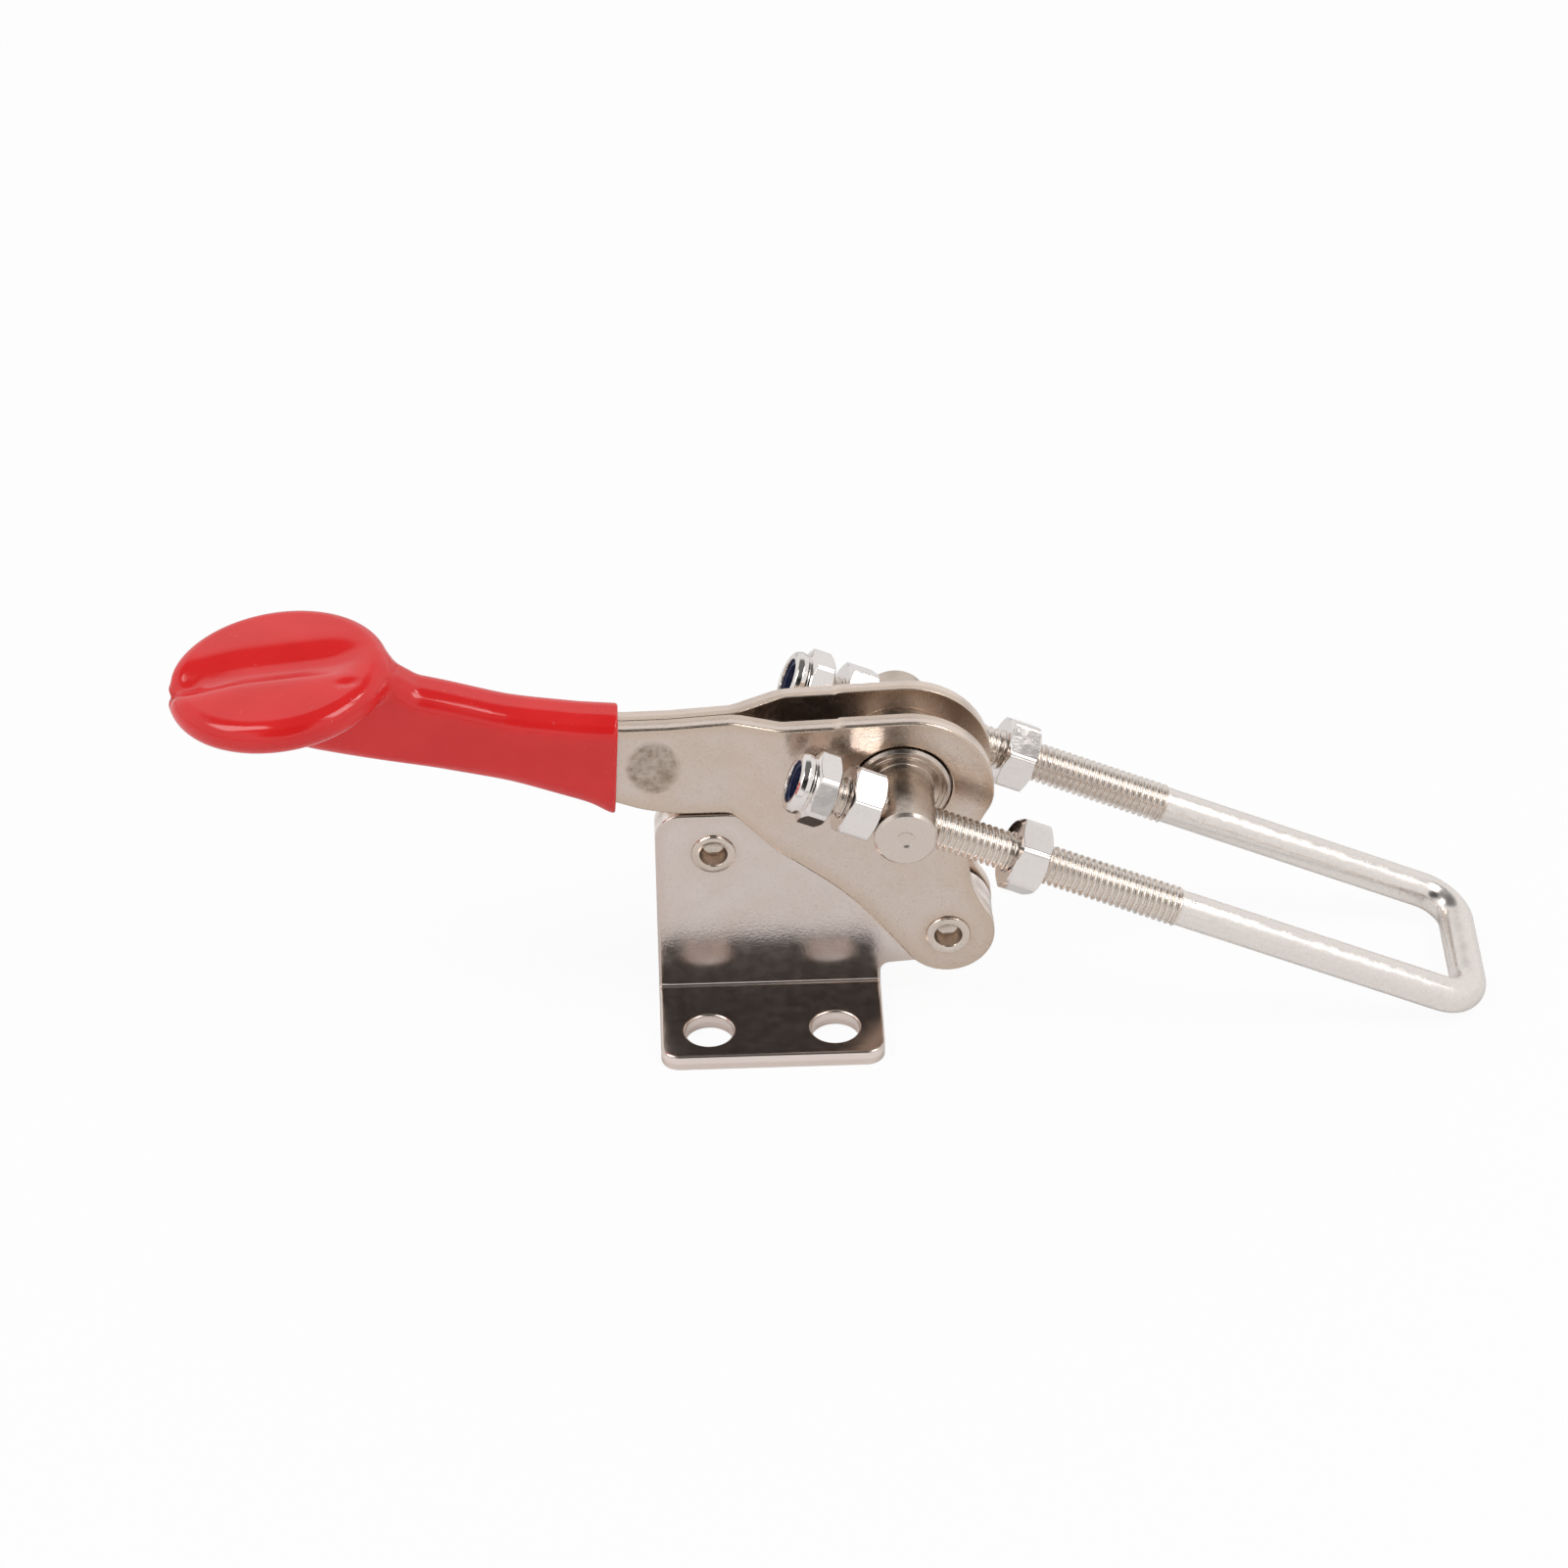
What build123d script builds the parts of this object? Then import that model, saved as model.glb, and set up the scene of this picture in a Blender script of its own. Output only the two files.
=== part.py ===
"""Latch toggle clamp with a U-shaped hook, modelled closed, as it stands on a table.

A lever of two stamped plates swings on a rivet in the nose of a flanged base. A two-piece
cross pin in the lever carries a threaded U-hook, which the closing lever pulls tight.

Millimetres. The origin is the middle of the four base holes, on the underside of the base.
+X points to the hook, +Y to the far side, +Z up. The clamp is symmetric about Y = 0.
Angles that open the lever are clockwise as seen from the near side.
"""

import math
import os

from build123d import *

# Base brackets
sheet = 2.5
base_length = 33.5
flange_reach = 19.5
flange_corner = 2.8
bend_inner = 1.5
bracket_height = 34.65
bracket_corner = 4.0
bracket_shoulder_x = -4.7
bracket_dip = (4.0, 27.3)
bracket_dip_radius = 10.0
nose_radius = 6.9
nose_under_z = 5.6
nose_relief = 1.6
edge_round = 0.4
hole_spacing_x = 18.9
hole_from_edge = 6.2
hole_radius = 3.6
hole_round = 0.3

# Axes of the rivets and of the cross pin, in the side view
joint_rivet_x = -8.1
joint_rivet_z = 27.55
pivot_x = 26.8
pivot_z = 13.3
cross_x = 19.8
cross_z = 41.0

# Rivets and spacer washers
rivet_shank = 2.75
rivet_fit = 0.05
rivet_rim = 3.35
rivet_rim_rise = 0.5
rivet_bore = 2.1
rivet_bore_depth = 3.4
rivet_bore_tip = 0.8
rivet_head = 4.2
rivet_head_rise = 1.3
washer_thickness = 0.4
washer_radius = 5.6

# Lever plates
lever_gap = 6.0
lever_rest_gap = 0.3
lever_rest_start_x = -13.5
lever_rest_start_round = 10.0
joggle_start_x = -5.0
joggle_start_round = 5.0
joggle_end_x = 2.0
joggle_bend = 3.5
lever_lobe_radius = 7.0
pivot_play = 0.05
# Corners of a lever plate in the side view, each with its x, its z and the radius of its arc
arm_underside = [(-66.5, 50.65, 20.0), (-37.5, 43.35, 40.0), (-18.7, 36.05, 12.0)]
belly = (12.0, 21.3, 40.0)
neck = (26.9, 26.5, 17.5)
lever_head = [(33.5, 37.9, 6.5), (33.3, 53.3, 12.8)]
lever_top = [(4.0, 52.1, 60.0), (-21.0, 50.35, 60.0), (-38.0, 52.95, 40.0)]

# Thumb paddle, pressed from the lever plates, and the vinyl dipped over it
paddle_x = -70.5
paddle_z = 59.15
paddle_tilt = 6.0
paddle_length = 32.4
paddle_width = 30.6
vinyl = 1.5
grip_end_x = -22.5
grip_end_slant = -3.0
grip_edge_round = 1.9
paddle_rim = 2.65
ear_bend = 0.7
ear_root = 2.2
ear_left = 0.42
ear_left_round = 1.0
ear_right = 0.43
ear_right_round = 1.5
ear_heel = 5.0
ear_heel_z = 56.75
ear_heel_round = 6.0
crease_width = 5.0
crease_depth = 1.7

# Cross pin, turned in two halves that meet inside the lever
collar_radius = 8.5
collar_face_gap = 0.05
collar_split = 0.3
journal_radius = 7.2
journal_fit = 0.08
journal_rise = 0.5
arm_radius = 4.67
arm_end_y = 18.1
arm_chamfer = 0.5
centre_mark_radius = 1.15
centre_mark_depth = 0.25

# U-hook with its threaded ends
rod_spacing = 25.3
rod_radius = 2.68
thread_radius = 2.95
thread_fit = 0.04
thread_chamfer = 0.6
hook_reach = 93.8
hook_bend = 5.5
thread_end = 44.2
tail_end = -15.8

# Nuts
nut_flats = 10.0
nut_height = 5.0
nut_corner_cut = 0.75
nut_bore_chamfer = 0.5
nut_seat_gap = 0.05
nut_face_cut = 0.1
back_nut_turn = 25.5
front_nut_start = 16.9
front_nut_turn = -4.5
lock_nut_start = -17.9
lock_nut_height = 6.0
lock_hex_height = 3.6
lock_nut_turn = 10.0
lock_collar_radius = 4.6
lock_collar_round = 0.8
lock_lip_radius = 3.2
ring_inner = 2.7
ring_outer = 3.9
ring_length = 1.4
ring_seat = 0.5

# Sizes that follow from the ones above
bend_outer = bend_inner + sheet
lever_inner_y = lever_gap / 2
lever_outer_y = lever_inner_y + sheet
lever_low_z = bracket_height + lever_rest_gap
rod_y = rod_spacing / 2
tilt = math.radians(paddle_tilt)
# The end bar of the hook lies on the table, so its droop follows from its reach
droop = math.asin((cross_z - rod_radius) / hook_reach)
rod_direction = Vector(math.cos(droop), 0, -math.sin(droop))
rod_normal = Vector(math.sin(droop), 0, math.cos(droop))

hook_plane = Plane(origin=(cross_x, 0, cross_z), x_dir=rod_direction, z_dir=rod_normal)
paddle_plane = Plane(
    origin=(paddle_x, 0, paddle_z),
    x_dir=(math.cos(tilt), 0, math.sin(tilt)),
    z_dir=(-math.sin(tilt), 0, math.cos(tilt)),
)

os.makedirs("parts", exist_ok=True)


def save(builder, name):
    """Label a finished piece and write it as a file of its own."""
    builder.part.label = name
    export_step(builder.part, f"parts/{name}.step")


def tangent_angle(start, centre, radius, side):
    """Angle, about a circle's centre, of the place where the line from a point touches it.

    side is +1 for the touching point to the left of the way there and -1 to the right.
    """
    dx = centre[0] - start[0]
    dz = centre[1] - start[1]
    spread = math.acos(radius / math.hypot(dx, dz))
    return math.atan2(-dz, -dx) - side * spread


def lobe_corners(before, after, centre, radius, side, count):
    """Corners whose fillets of this radius all centre on a lobe, between two tangent edges."""
    first = tangent_angle(before, centre, radius, side)
    last = tangent_angle(after, centre, radius, -side)
    sweep = (last - first) * -side % (2 * math.pi) * -side
    half_turn = sweep / count / 2
    reach = radius / math.cos(half_turn)
    angles = [first + (2 * i + 1) * half_turn for i in range(count)]
    points = [(centre[0] + reach * math.cos(a), centre[1] + reach * math.sin(a)) for a in angles]
    return [(corner, radius - 0.001) for corner in points]


def paddle_height(x):
    """Height of the middle of the paddle's sheet."""
    return paddle_z + math.tan(tilt) * (x - paddle_x)


def plane_across_pin(x, z):
    """Sketch plane through a pin's axis: the first coordinate runs along +Y, the second is radial."""
    return Plane(origin=(x, 0, z), x_dir=(0, 1, 0), z_dir=(1, 0, 0))


def rod_plane(along, side=-1):
    """Sketch plane across the near (-1) or far (+1) rod, at a distance from the cross pin."""
    middle = Vector(cross_x, 0, cross_z) + rod_direction * along
    return Plane(origin=middle + Vector(0, side * rod_y, 0), x_dir=(0, 1, 0), z_dir=rod_direction)


def lever_corners():
    """Corners of a lever plate in the side view, each with the radius of its arc."""
    left_x = paddle_x - ear_left * paddle_length
    right_x = paddle_x + ear_right * paddle_length
    lobe = lobe_corners(belly[:2], neck[:2], (pivot_x, pivot_z), lever_lobe_radius, -1, 2)
    return [
        ((left_x, paddle_height(left_x)), ear_left_round),
        *[((x, z), radius) for x, z, radius in arm_underside],
        ((lever_rest_start_x, lever_low_z), lever_rest_start_round),
        ((joggle_start_x, lever_low_z), joggle_start_round),
        (belly[:2], belly[2]),
        *lobe,
        (neck[:2], neck[2]),
        *[((x, z), radius) for x, z, radius in lever_head + lever_top],
        ((right_x + ear_heel, ear_heel_z), ear_heel_round),
        ((right_x, paddle_height(right_x)), ear_right_round),
    ]


def outline(corners):
    """Closed outline in the side view, from corners with their radii."""
    points = [corner for corner, radius in corners]
    radii = [radius for corner, radius in corners]
    return FilletPolyline(*points, radius=radii, close=True)


def rim_of(faces):
    """Edges around a run of faces, where the punch has rounded the metal."""
    edges = [edge for face in faces for edge in face.outer_wire().edges()]
    return [edge for edge in edges if edges.count(edge) == 1]


def rivet(x, z, grip, name):
    """Semi-tubular rivet along Y: a rolled rim with a blind bore near, a domed head far."""
    face = grip / 2
    top = face + rivet_rim_rise
    dome_radius = (rivet_head**2 + rivet_head_rise**2) / (2 * rivet_head_rise)
    with BuildPart() as piece:
        with BuildSketch(plane_across_pin(x, z)):
            with BuildLine():
                Polyline(
                    (-top + rivet_bore_depth + rivet_bore_tip, 0),
                    (-top + rivet_bore_depth, rivet_bore),
                    (-top, rivet_bore),
                )
                Line((-top, rivet_bore), (-top, rivet_rim - rivet_rim_rise))
                RadiusArc((-top, rivet_rim - rivet_rim_rise), (-face, rivet_rim), rivet_rim_rise)
                Polyline((-face, rivet_rim), (-face, rivet_shank), (face, rivet_shank))
                Line((face, rivet_shank), (face, rivet_head))
                RadiusArc((face, rivet_head), (face + rivet_head_rise, 0), dome_radius)
                Line((face + rivet_head_rise, 0), (-top + rivet_bore_depth + rivet_bore_tip, 0))
            make_face()
        revolve(axis=Axis((x, 0, z), (0, 1, 0)))
    save(piece, name)


def save_pair(near, stem):
    """Save a near piece and its mirror image on the far side."""
    with BuildPart() as far:
        mirror(near.part, about=Plane.XZ)
    save(near, f"{stem}_near")
    save(far, f"{stem}_far")


# Base: two mirrored brackets, back to back, each a folded sheet with its flange outwards
with BuildPart() as bracket:
    with BuildSketch(Plane.YZ.offset(-base_length)):
        with BuildLine():
            FilletPolyline(
                (0, bracket_height + sheet),
                (0, 0),
                (-flange_reach, 0),
                (-flange_reach, sheet),
                (-sheet, sheet),
                (-sheet, bracket_height + sheet),
                radius=[0, bend_outer, 0, 0, bend_inner, 0],
                close=True,
            )
        make_face()
    extrude(amount=3 * base_length)
    with BuildSketch(Plane.XZ):
        half = base_length / 2
        under = (half, nose_under_z)
        with BuildLine():
            outline(
                [
                    ((-half, -sheet), 0),
                    ((-half, bracket_height), bracket_corner),
                    ((bracket_shoulder_x, bracket_height), bracket_corner),
                    (bracket_dip, bracket_dip_radius),
                    *lobe_corners(bracket_dip, under, (pivot_x, pivot_z), nose_radius, 1, 1),
                    (under, nose_relief),
                    ((half, -sheet), 0),
                ]
            )
        make_face()
    extrude(amount=flange_reach + sheet, both=True, mode=Mode.INTERSECT)
    fillet(bracket.edges().filter_by(Axis.Z).group_by(Axis.Y)[0], radius=flange_corner)
    with Locations((0, hole_from_edge - flange_reach, sheet)):
        with GridLocations(hole_spacing_x, 0, 2, 1):
            Hole(radius=hole_radius)
    with BuildSketch(Plane.XZ):
        with Locations((joint_rivet_x, joint_rivet_z), (pivot_x, pivot_z)):
            Circle(rivet_shank + rivet_fit)
    extrude(amount=2 * sheet, both=True, mode=Mode.SUBTRACT)
    outside = (
        bracket.faces()
        .filter_by(lambda face: face.normal_at().Y - face.normal_at().Z < -0.5)
        .filter_by(lambda face: abs(face.normal_at().X) < 0.01)
        .filter_by(lambda face: face.center().Z < bracket_height - bracket_corner)
        .filter_by(lambda face: face.center().Y > flange_corner - flange_reach)
    )
    fillet(rim_of(outside), radius=edge_round)
    hole_rims = bracket.edges().filter_by(GeomType.CIRCLE).filter_by(
        lambda edge: abs(edge.radius - hole_radius) < 0.01
    )
    chamfer(hole_rims, length=hole_round)
save_pair(bracket, "bracket")

# Ear: the end of each lever plate is folded outwards to carry its half of the thumb paddle
with BuildPart() as ear:
    ear_top = sheet / 2
    ear_start = paddle_plane.origin - paddle_plane.x_dir * paddle_length / 2
    with BuildSketch(Plane(origin=ear_start, x_dir=(0, 1, 0), z_dir=paddle_plane.x_dir)):
        with BuildLine():
            FilletPolyline(
                (0, -ear_root),
                (0, ear_top),
                (-paddle_width, ear_top),
                (-paddle_width, ear_top - sheet),
                (-sheet, ear_top - sheet),
                (-sheet, -ear_root),
                radius=[0, ear_bend + sheet, 0, 0, ear_bend, 0],
                close=True,
            )
        make_face()
    extrude(amount=paddle_length)
    with BuildSketch(paddle_plane):
        Ellipse(paddle_length / 2 - vinyl, paddle_width / 2 - vinyl)
    extrude(amount=ear_root, both=True, mode=Mode.INTERSECT)

# Lever: two mirrored plates, touching along the grip and stepped apart to straddle the base
with BuildPart() as lever:
    joggle_turn = math.atan2(lever_inner_y, joggle_end_x - joggle_start_x)
    joggle_shift = sheet * math.tan(joggle_turn / 2)
    with BuildSketch(Plane.XY):
        right_x = pivot_x + paddle_length
        left_x = paddle_x - paddle_length
        outside = joggle_bend + sheet
        with BuildLine():
            FilletPolyline(
                (left_x, 0),
                (joggle_start_x + joggle_shift, 0),
                (joggle_end_x + joggle_shift, -lever_inner_y),
                (right_x, -lever_inner_y),
                (right_x, -lever_outer_y),
                (joggle_end_x, -lever_outer_y),
                (joggle_start_x, -sheet),
                (left_x, -sheet),
                radius=[0, outside, joggle_bend, 0, 0, outside, joggle_bend, 0],
                close=True,
            )
        make_face()
    extrude(amount=paddle_z + paddle_length)
    with BuildSketch(Plane.XZ):
        with BuildLine():
            outline(lever_corners())
        make_face()
    extrude(amount=lever_outer_y + sheet, both=True, mode=Mode.INTERSECT)
    with BuildSketch(Plane.XZ):
        with Locations((pivot_x, pivot_z)):
            Circle(rivet_shank + rivet_fit)
        with Locations((cross_x, cross_z)):
            Circle(journal_radius + journal_fit)
    extrude(amount=lever_outer_y + sheet, both=True, mode=Mode.SUBTRACT)
    fillet(rim_of(lever.faces().filter_by(lambda face: face.normal_at().Y < -0.5)), radius=edge_round)
    add(ear.part)
save_pair(lever, "lever_plate")

rivet(joint_rivet_x, joint_rivet_z, 2 * sheet, "joint_rivet")
rivet(pivot_x, pivot_z, 2 * (lever_outer_y + pivot_play), "pivot_rivet")

# Spacer washers between the lever and the base, on the pivot rivet
with BuildPart() as washer:
    with BuildSketch(Plane.XZ.offset((lever_inner_y + sheet - washer_thickness) / 2)):
        with Locations((pivot_x, pivot_z)):
            Circle(washer_radius)
            Circle(rivet_shank + rivet_fit, mode=Mode.SUBTRACT)
    extrude(amount=washer_thickness)
save_pair(washer, "pivot_washer")

# Cross pin: each half has a collar inside the lever, a journal in its plate and an arm outside
with BuildPart() as cross_pin:
    journal_end = lever_outer_y + journal_rise
    collar_back = lever_inner_y - collar_face_gap
    with BuildSketch(plane_across_pin(cross_x, cross_z)):
        with BuildLine():
            Polyline(
                (-collar_split / 2, 0),
                (-collar_split / 2, collar_radius),
                (-collar_back, collar_radius),
                (-collar_back, journal_radius),
                (-journal_end + arm_chamfer, journal_radius),
                (-journal_end, journal_radius - arm_chamfer),
                (-journal_end, arm_radius),
                (-arm_end_y + arm_chamfer, arm_radius),
                (-arm_end_y, arm_radius - arm_chamfer),
                (-arm_end_y, centre_mark_radius),
                (-arm_end_y + centre_mark_depth, 0),
                close=True,
            )
        make_face()
    revolve(axis=Axis((cross_x, 0, cross_z), (0, 1, 0)))
    with BuildSketch(rod_plane(0)):
        Circle(thread_radius + thread_fit)
    extrude(amount=2 * arm_radius, both=True, mode=Mode.SUBTRACT)
save_pair(cross_pin, "cross_pin")

# U-hook: one bent rod whose two ends are threaded
with BuildPart() as hook:
    with BuildLine(hook_plane):
        FilletPolyline(
            (thread_end, -rod_y),
            (hook_reach, -rod_y),
            (hook_reach, rod_y),
            (thread_end, rod_y),
            radius=hook_bend,
        )
    with BuildSketch(rod_plane(thread_end)):
        Circle(rod_radius)
    sweep()
    for side in (-1, 1):
        with BuildSketch(rod_plane(tail_end, side)):
            Circle(thread_radius)
        extrude(amount=thread_end - tail_end)
    tails = hook.faces().filter_by(Axis((0, 0, 0), tuple(rod_direction))).sort_by(Axis.X)[:2]
    chamfer(tails.edges(), length=thread_chamfer)
save(hook, "u_hook")


def save_nut(stem, start, length, profile, turn):
    """A nut on each rod: a turned ring cut to a hexagon.

    The points of its profile are each a distance from the start and a radius.
    """
    section = Plane(origin=rod_plane(start).origin, x_dir=rod_direction, z_dir=rod_normal)
    with BuildPart() as nut:
        with BuildSketch(section):
            with BuildLine():
                Polyline(*profile, close=True)
            make_face()
        revolve(axis=Axis(section.origin, rod_direction))
        with BuildSketch(rod_plane(start)):
            RegularPolygon(radius=nut_corner, side_count=6, rotation=turn)
        extrude(amount=length, mode=Mode.INTERSECT)
    save_pair(nut, stem)


def plain_nut_profile():
    """Half section of a hexagon nut: corners turned off at both ends and a chamfered bore."""
    return [
        (0, nut_bore + nut_bore_chamfer),
        (0, nut_face),
        (nut_corner_cut, nut_corner),
        (nut_height - nut_corner_cut, nut_corner),
        (nut_height, nut_face),
        (nut_height, nut_bore + nut_bore_chamfer),
        (nut_height - nut_bore_chamfer, nut_bore),
        (nut_bore_chamfer, nut_bore),
    ]


nut_corner = nut_flats / math.sqrt(3)
nut_face = nut_flats / 2 - nut_face_cut
nut_bore = thread_radius + thread_fit
collar_length = lock_nut_height - lock_hex_height
back_nut_start = -arm_radius - nut_seat_gap - nut_height
save_nut("back_nut", back_nut_start, nut_height, plain_nut_profile(), back_nut_turn)
save_nut("front_nut", front_nut_start, nut_height, plain_nut_profile(), front_nut_turn)
lock_nut_profile = [
    (0, lock_lip_radius),
    (0, lock_collar_radius - lock_collar_round),
    (lock_collar_round, lock_collar_radius),
    (collar_length, lock_collar_radius),
    (collar_length + nut_corner_cut, nut_corner),
    (lock_nut_height - nut_corner_cut, nut_corner),
    (lock_nut_height, nut_face),
    (lock_nut_height, nut_bore + nut_bore_chamfer),
    (lock_nut_height - nut_bore_chamfer, nut_bore),
    (ring_seat + ring_length, nut_bore),
    (ring_seat + ring_length, ring_outer),
    (ring_seat, ring_outer),
    (ring_seat, lock_lip_radius),
]
save_nut("lock_nut", lock_nut_start, lock_nut_height, lock_nut_profile, lock_nut_turn)

with BuildPart() as ring:
    with BuildSketch(rod_plane(lock_nut_start + ring_seat)):
        Circle(ring_outer)
        Circle(ring_inner, mode=Mode.SUBTRACT)
    extrude(amount=ring_length)
save_pair(ring, "nylon_ring")

# Skin of the thumb paddle: a rounded disc with a crease where the two ears meet
with BuildPart() as paddle_skin:
    skin_top = sheet / 2 + vinyl
    with BuildSketch(paddle_plane):
        Ellipse(paddle_length / 2, paddle_width / 2)
    extrude(amount=skin_top, both=True)
    fillet(paddle_skin.edges().filter_by(GeomType.ELLIPSE), radius=paddle_rim)
    crease_radius = (crease_width**2 / 4 + crease_depth**2) / (2 * crease_depth)
    crease_axis = (
        paddle_plane.origin
        - paddle_plane.x_dir * paddle_length / 2
        + paddle_plane.z_dir * (skin_top + crease_radius - crease_depth)
    )
    with BuildSketch(Plane(origin=crease_axis, x_dir=(0, 1, 0), z_dir=paddle_plane.x_dir)):
        Circle(crease_radius)
    extrude(amount=paddle_length, mode=Mode.SUBTRACT)

# Grip: soft vinyl dipped over the lever's arm and the paddle at its end, as one skin
with BuildPart() as grip:
    skin_y = sheet + vinyl
    with BuildSketch(Plane.XZ):
        with BuildLine():
            outline(lever_corners())
        make_face()
        offset(amount=vinyl)
        with Locations((grip_end_x, lever_low_z)):
            Rectangle(
                2 * paddle_length,
                4 * paddle_length,
                rotation=grip_end_slant,
                align=(Align.MIN, Align.CENTER),
                mode=Mode.SUBTRACT,
            )
    extrude(amount=skin_y, both=True)
    side_edges = grip.edges().filter_by(lambda edge: abs(abs(edge.center().Y) - skin_y) < 0.01)
    end_edges = side_edges.sort_by(Axis.X)[-2:]
    fillet([edge for edge in side_edges if edge not in end_edges], radius=grip_edge_round)
    add(paddle_skin.part)
    add(lever.part, mode=Mode.SUBTRACT)
    add(lever.part.mirror(Plane.XZ), mode=Mode.SUBTRACT)
save(grip, "grip")
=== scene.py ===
"""Looks of the latch toggle clamp: nickel-plated stampings, a threaded U-hook with its nuts
and cross pin, and a red vinyl grip dipped over the lever's arm and thumb paddle.

Sizes are in millimetres until a mesh is made, in the frame of the CAD model.
"""

import math

import bmesh
import bpy
import numpy as np
from mathutils import Matrix, Vector
from mathutils.geometry import delaunay_2d_cdt


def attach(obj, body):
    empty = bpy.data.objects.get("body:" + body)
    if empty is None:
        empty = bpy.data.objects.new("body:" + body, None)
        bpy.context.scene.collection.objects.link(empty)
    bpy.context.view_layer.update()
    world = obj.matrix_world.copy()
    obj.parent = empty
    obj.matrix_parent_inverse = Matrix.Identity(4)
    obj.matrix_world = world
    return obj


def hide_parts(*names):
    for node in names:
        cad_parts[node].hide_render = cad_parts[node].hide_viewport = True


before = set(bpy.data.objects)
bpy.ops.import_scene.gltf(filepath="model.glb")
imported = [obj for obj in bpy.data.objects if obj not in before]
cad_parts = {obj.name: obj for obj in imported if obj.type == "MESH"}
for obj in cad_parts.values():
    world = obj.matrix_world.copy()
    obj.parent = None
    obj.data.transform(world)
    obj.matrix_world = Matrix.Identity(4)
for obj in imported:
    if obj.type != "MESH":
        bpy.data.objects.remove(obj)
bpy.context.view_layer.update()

MM = 0.001

# Sizes, as in the CAD source
SHEET = 2.5
HALF = SHEET / 2
BASE_HALF = 16.75
FLANGE_REACH = 19.5
HOLE_Y = 13.3
HOLE_X = 9.45
HOLE_RADIUS = 3.6
BRACKET_HEIGHT = 34.65
BRACKET_LOBE = 6.9
PIVOT = (26.8, 13.3)
JOINT_RIVET = (-8.1, 27.55)
RIVET_HOLE = 2.8
CROSS = (19.8, 41.0)
CROSS_HOLE = 7.42
LEVER_GAP_HALF = 3.0
LEVER_OUTER = LEVER_GAP_HALF + SHEET
LEVER_LOW = 34.95
LEVER_LOBE = 7.0
PUNCHED_ROUND, BURR_ROUND = 0.42, 0.12
WELD_SPOT, WELD_RADIUS = (-16.7, 43.8), 3.9
PADDLE = (-70.5, 59.15)
PADDLE_TILT = math.radians(6.0)
PADDLE_A = 16.4
PADDLE_B = 15.6
VINYL = 1.5
GRIP_END = -22.5
ROD_Y = 12.65
ROD_RADIUS = 2.68
THREAD_RADIUS = 2.95
HOOK_REACH = 93.8
HOOK_BEND = 5.5
THREAD_END = 44.2
TAIL_END = -15.8
PITCH = 1.0
NUT_FLATS = 10.0
NUT_BORE = 2.62
NUT_LENGTH = 5.0
LOCK_NUT_LENGTH = 6.0
LOCK_COLLAR = 2.4
BACK_NUT_START, FRONT_NUT_START, LOCK_NUT_START = -9.72, 16.9, -17.9
PIN_ARM, PIN_JOURNAL, PIN_COLLAR = 4.67, 7.2, 8.5
ARM_END = 18.1

DROOP = math.asin((CROSS[1] - ROD_RADIUS) / HOOK_REACH)
ROD_AXIS = np.array([math.cos(DROOP), 0.0, -math.sin(DROOP)])
ROD_NORMAL = np.array([math.sin(DROOP), 0.0, math.cos(DROOP)])
CROSS_POINT = np.array([CROSS[0], 0.0, CROSS[1]])


# Meshes

def make_piece(name, points, faces, normals=None, attributes=None, smooth=True):
    """A mesh object from points in millimetres, with its own normals and point attributes."""
    mesh = bpy.data.meshes.new(name)
    mesh.from_pydata([tuple(p) for p in np.asarray(points, float) * MM], [], faces)
    mesh.validate()
    for key, values in (attributes or {}).items():
        layer = mesh.attributes.new(key, "FLOAT", "POINT")
        layer.data.foreach_set("value", np.asarray(values, np.float32))
    if smooth:
        mesh.polygons.foreach_set("use_smooth", [True] * len(mesh.polygons))
    if normals is not None:
        mesh.normals_split_custom_set_from_vertices([tuple(n) for n in normals])
    mesh.update()
    piece = bpy.data.objects.new(name, mesh)
    bpy.context.scene.collection.objects.link(piece)
    return piece


def area_normals(points, faces):
    """Normals at the points, each face counted by its area, so that flats stay flat."""
    points = np.asarray(points, float)
    total = np.zeros_like(points)
    for face in faces:
        corner = points[list(face)]
        rolled = np.roll(corner, -1, axis=0)
        total[list(face)] += np.cross(corner, rolled).sum(axis=0)
    length = np.linalg.norm(total, axis=1)
    length[length == 0] = 1
    return total / length[:, None]


def mirrored(points, faces, normals):
    """The same mesh on the far side."""
    flip = np.array([1.0, -1.0, 1.0])
    turned = [tuple(reversed(face)) for face in faces]
    return np.asarray(points) * flip, turned, np.asarray(normals) * flip


def dress(piece, body, slot, material, *nodes):
    """Give a finished piece its material, its body and the CAD nodes that it stands for."""
    piece.data.materials.clear()
    piece.data.materials.append(material)
    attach(piece, body)
    if nodes:
        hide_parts(*nodes)
    return piece


# Outlines

def rounded(corners, step=math.radians(7)):
    """Dense points of a closed outline, from corners with the radius of each."""
    points = []
    count = len(corners)
    for i in range(count):
        (before, _), (corner, radius), (after, _) = corners[i - 1], corners[i], corners[(i + 1) % count]
        b, c, a = np.array(before), np.array(corner), np.array(after)
        into, out = c - b, a - c
        into /= np.linalg.norm(into)
        out /= np.linalg.norm(out)
        turn = math.atan2(into[0] * out[1] - into[1] * out[0], into @ out)
        if radius <= 0 or abs(turn) < 1e-4:
            points.append(c)
            continue
        reach = radius * math.tan(abs(turn) / 2)
        side = math.copysign(1, turn)
        start = c - into * reach
        centre = start + side * radius * np.array([-into[1], into[0]])
        parts = max(2, math.ceil(abs(turn) / step))
        arm = start - centre
        for k in range(parts + 1):
            angle = turn * k / parts
            ca, sa = math.cos(angle), math.sin(angle)
            points.append(centre + np.array([ca * arm[0] - sa * arm[1], sa * arm[0] + ca * arm[1]]))
    return np.array(points)


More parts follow.
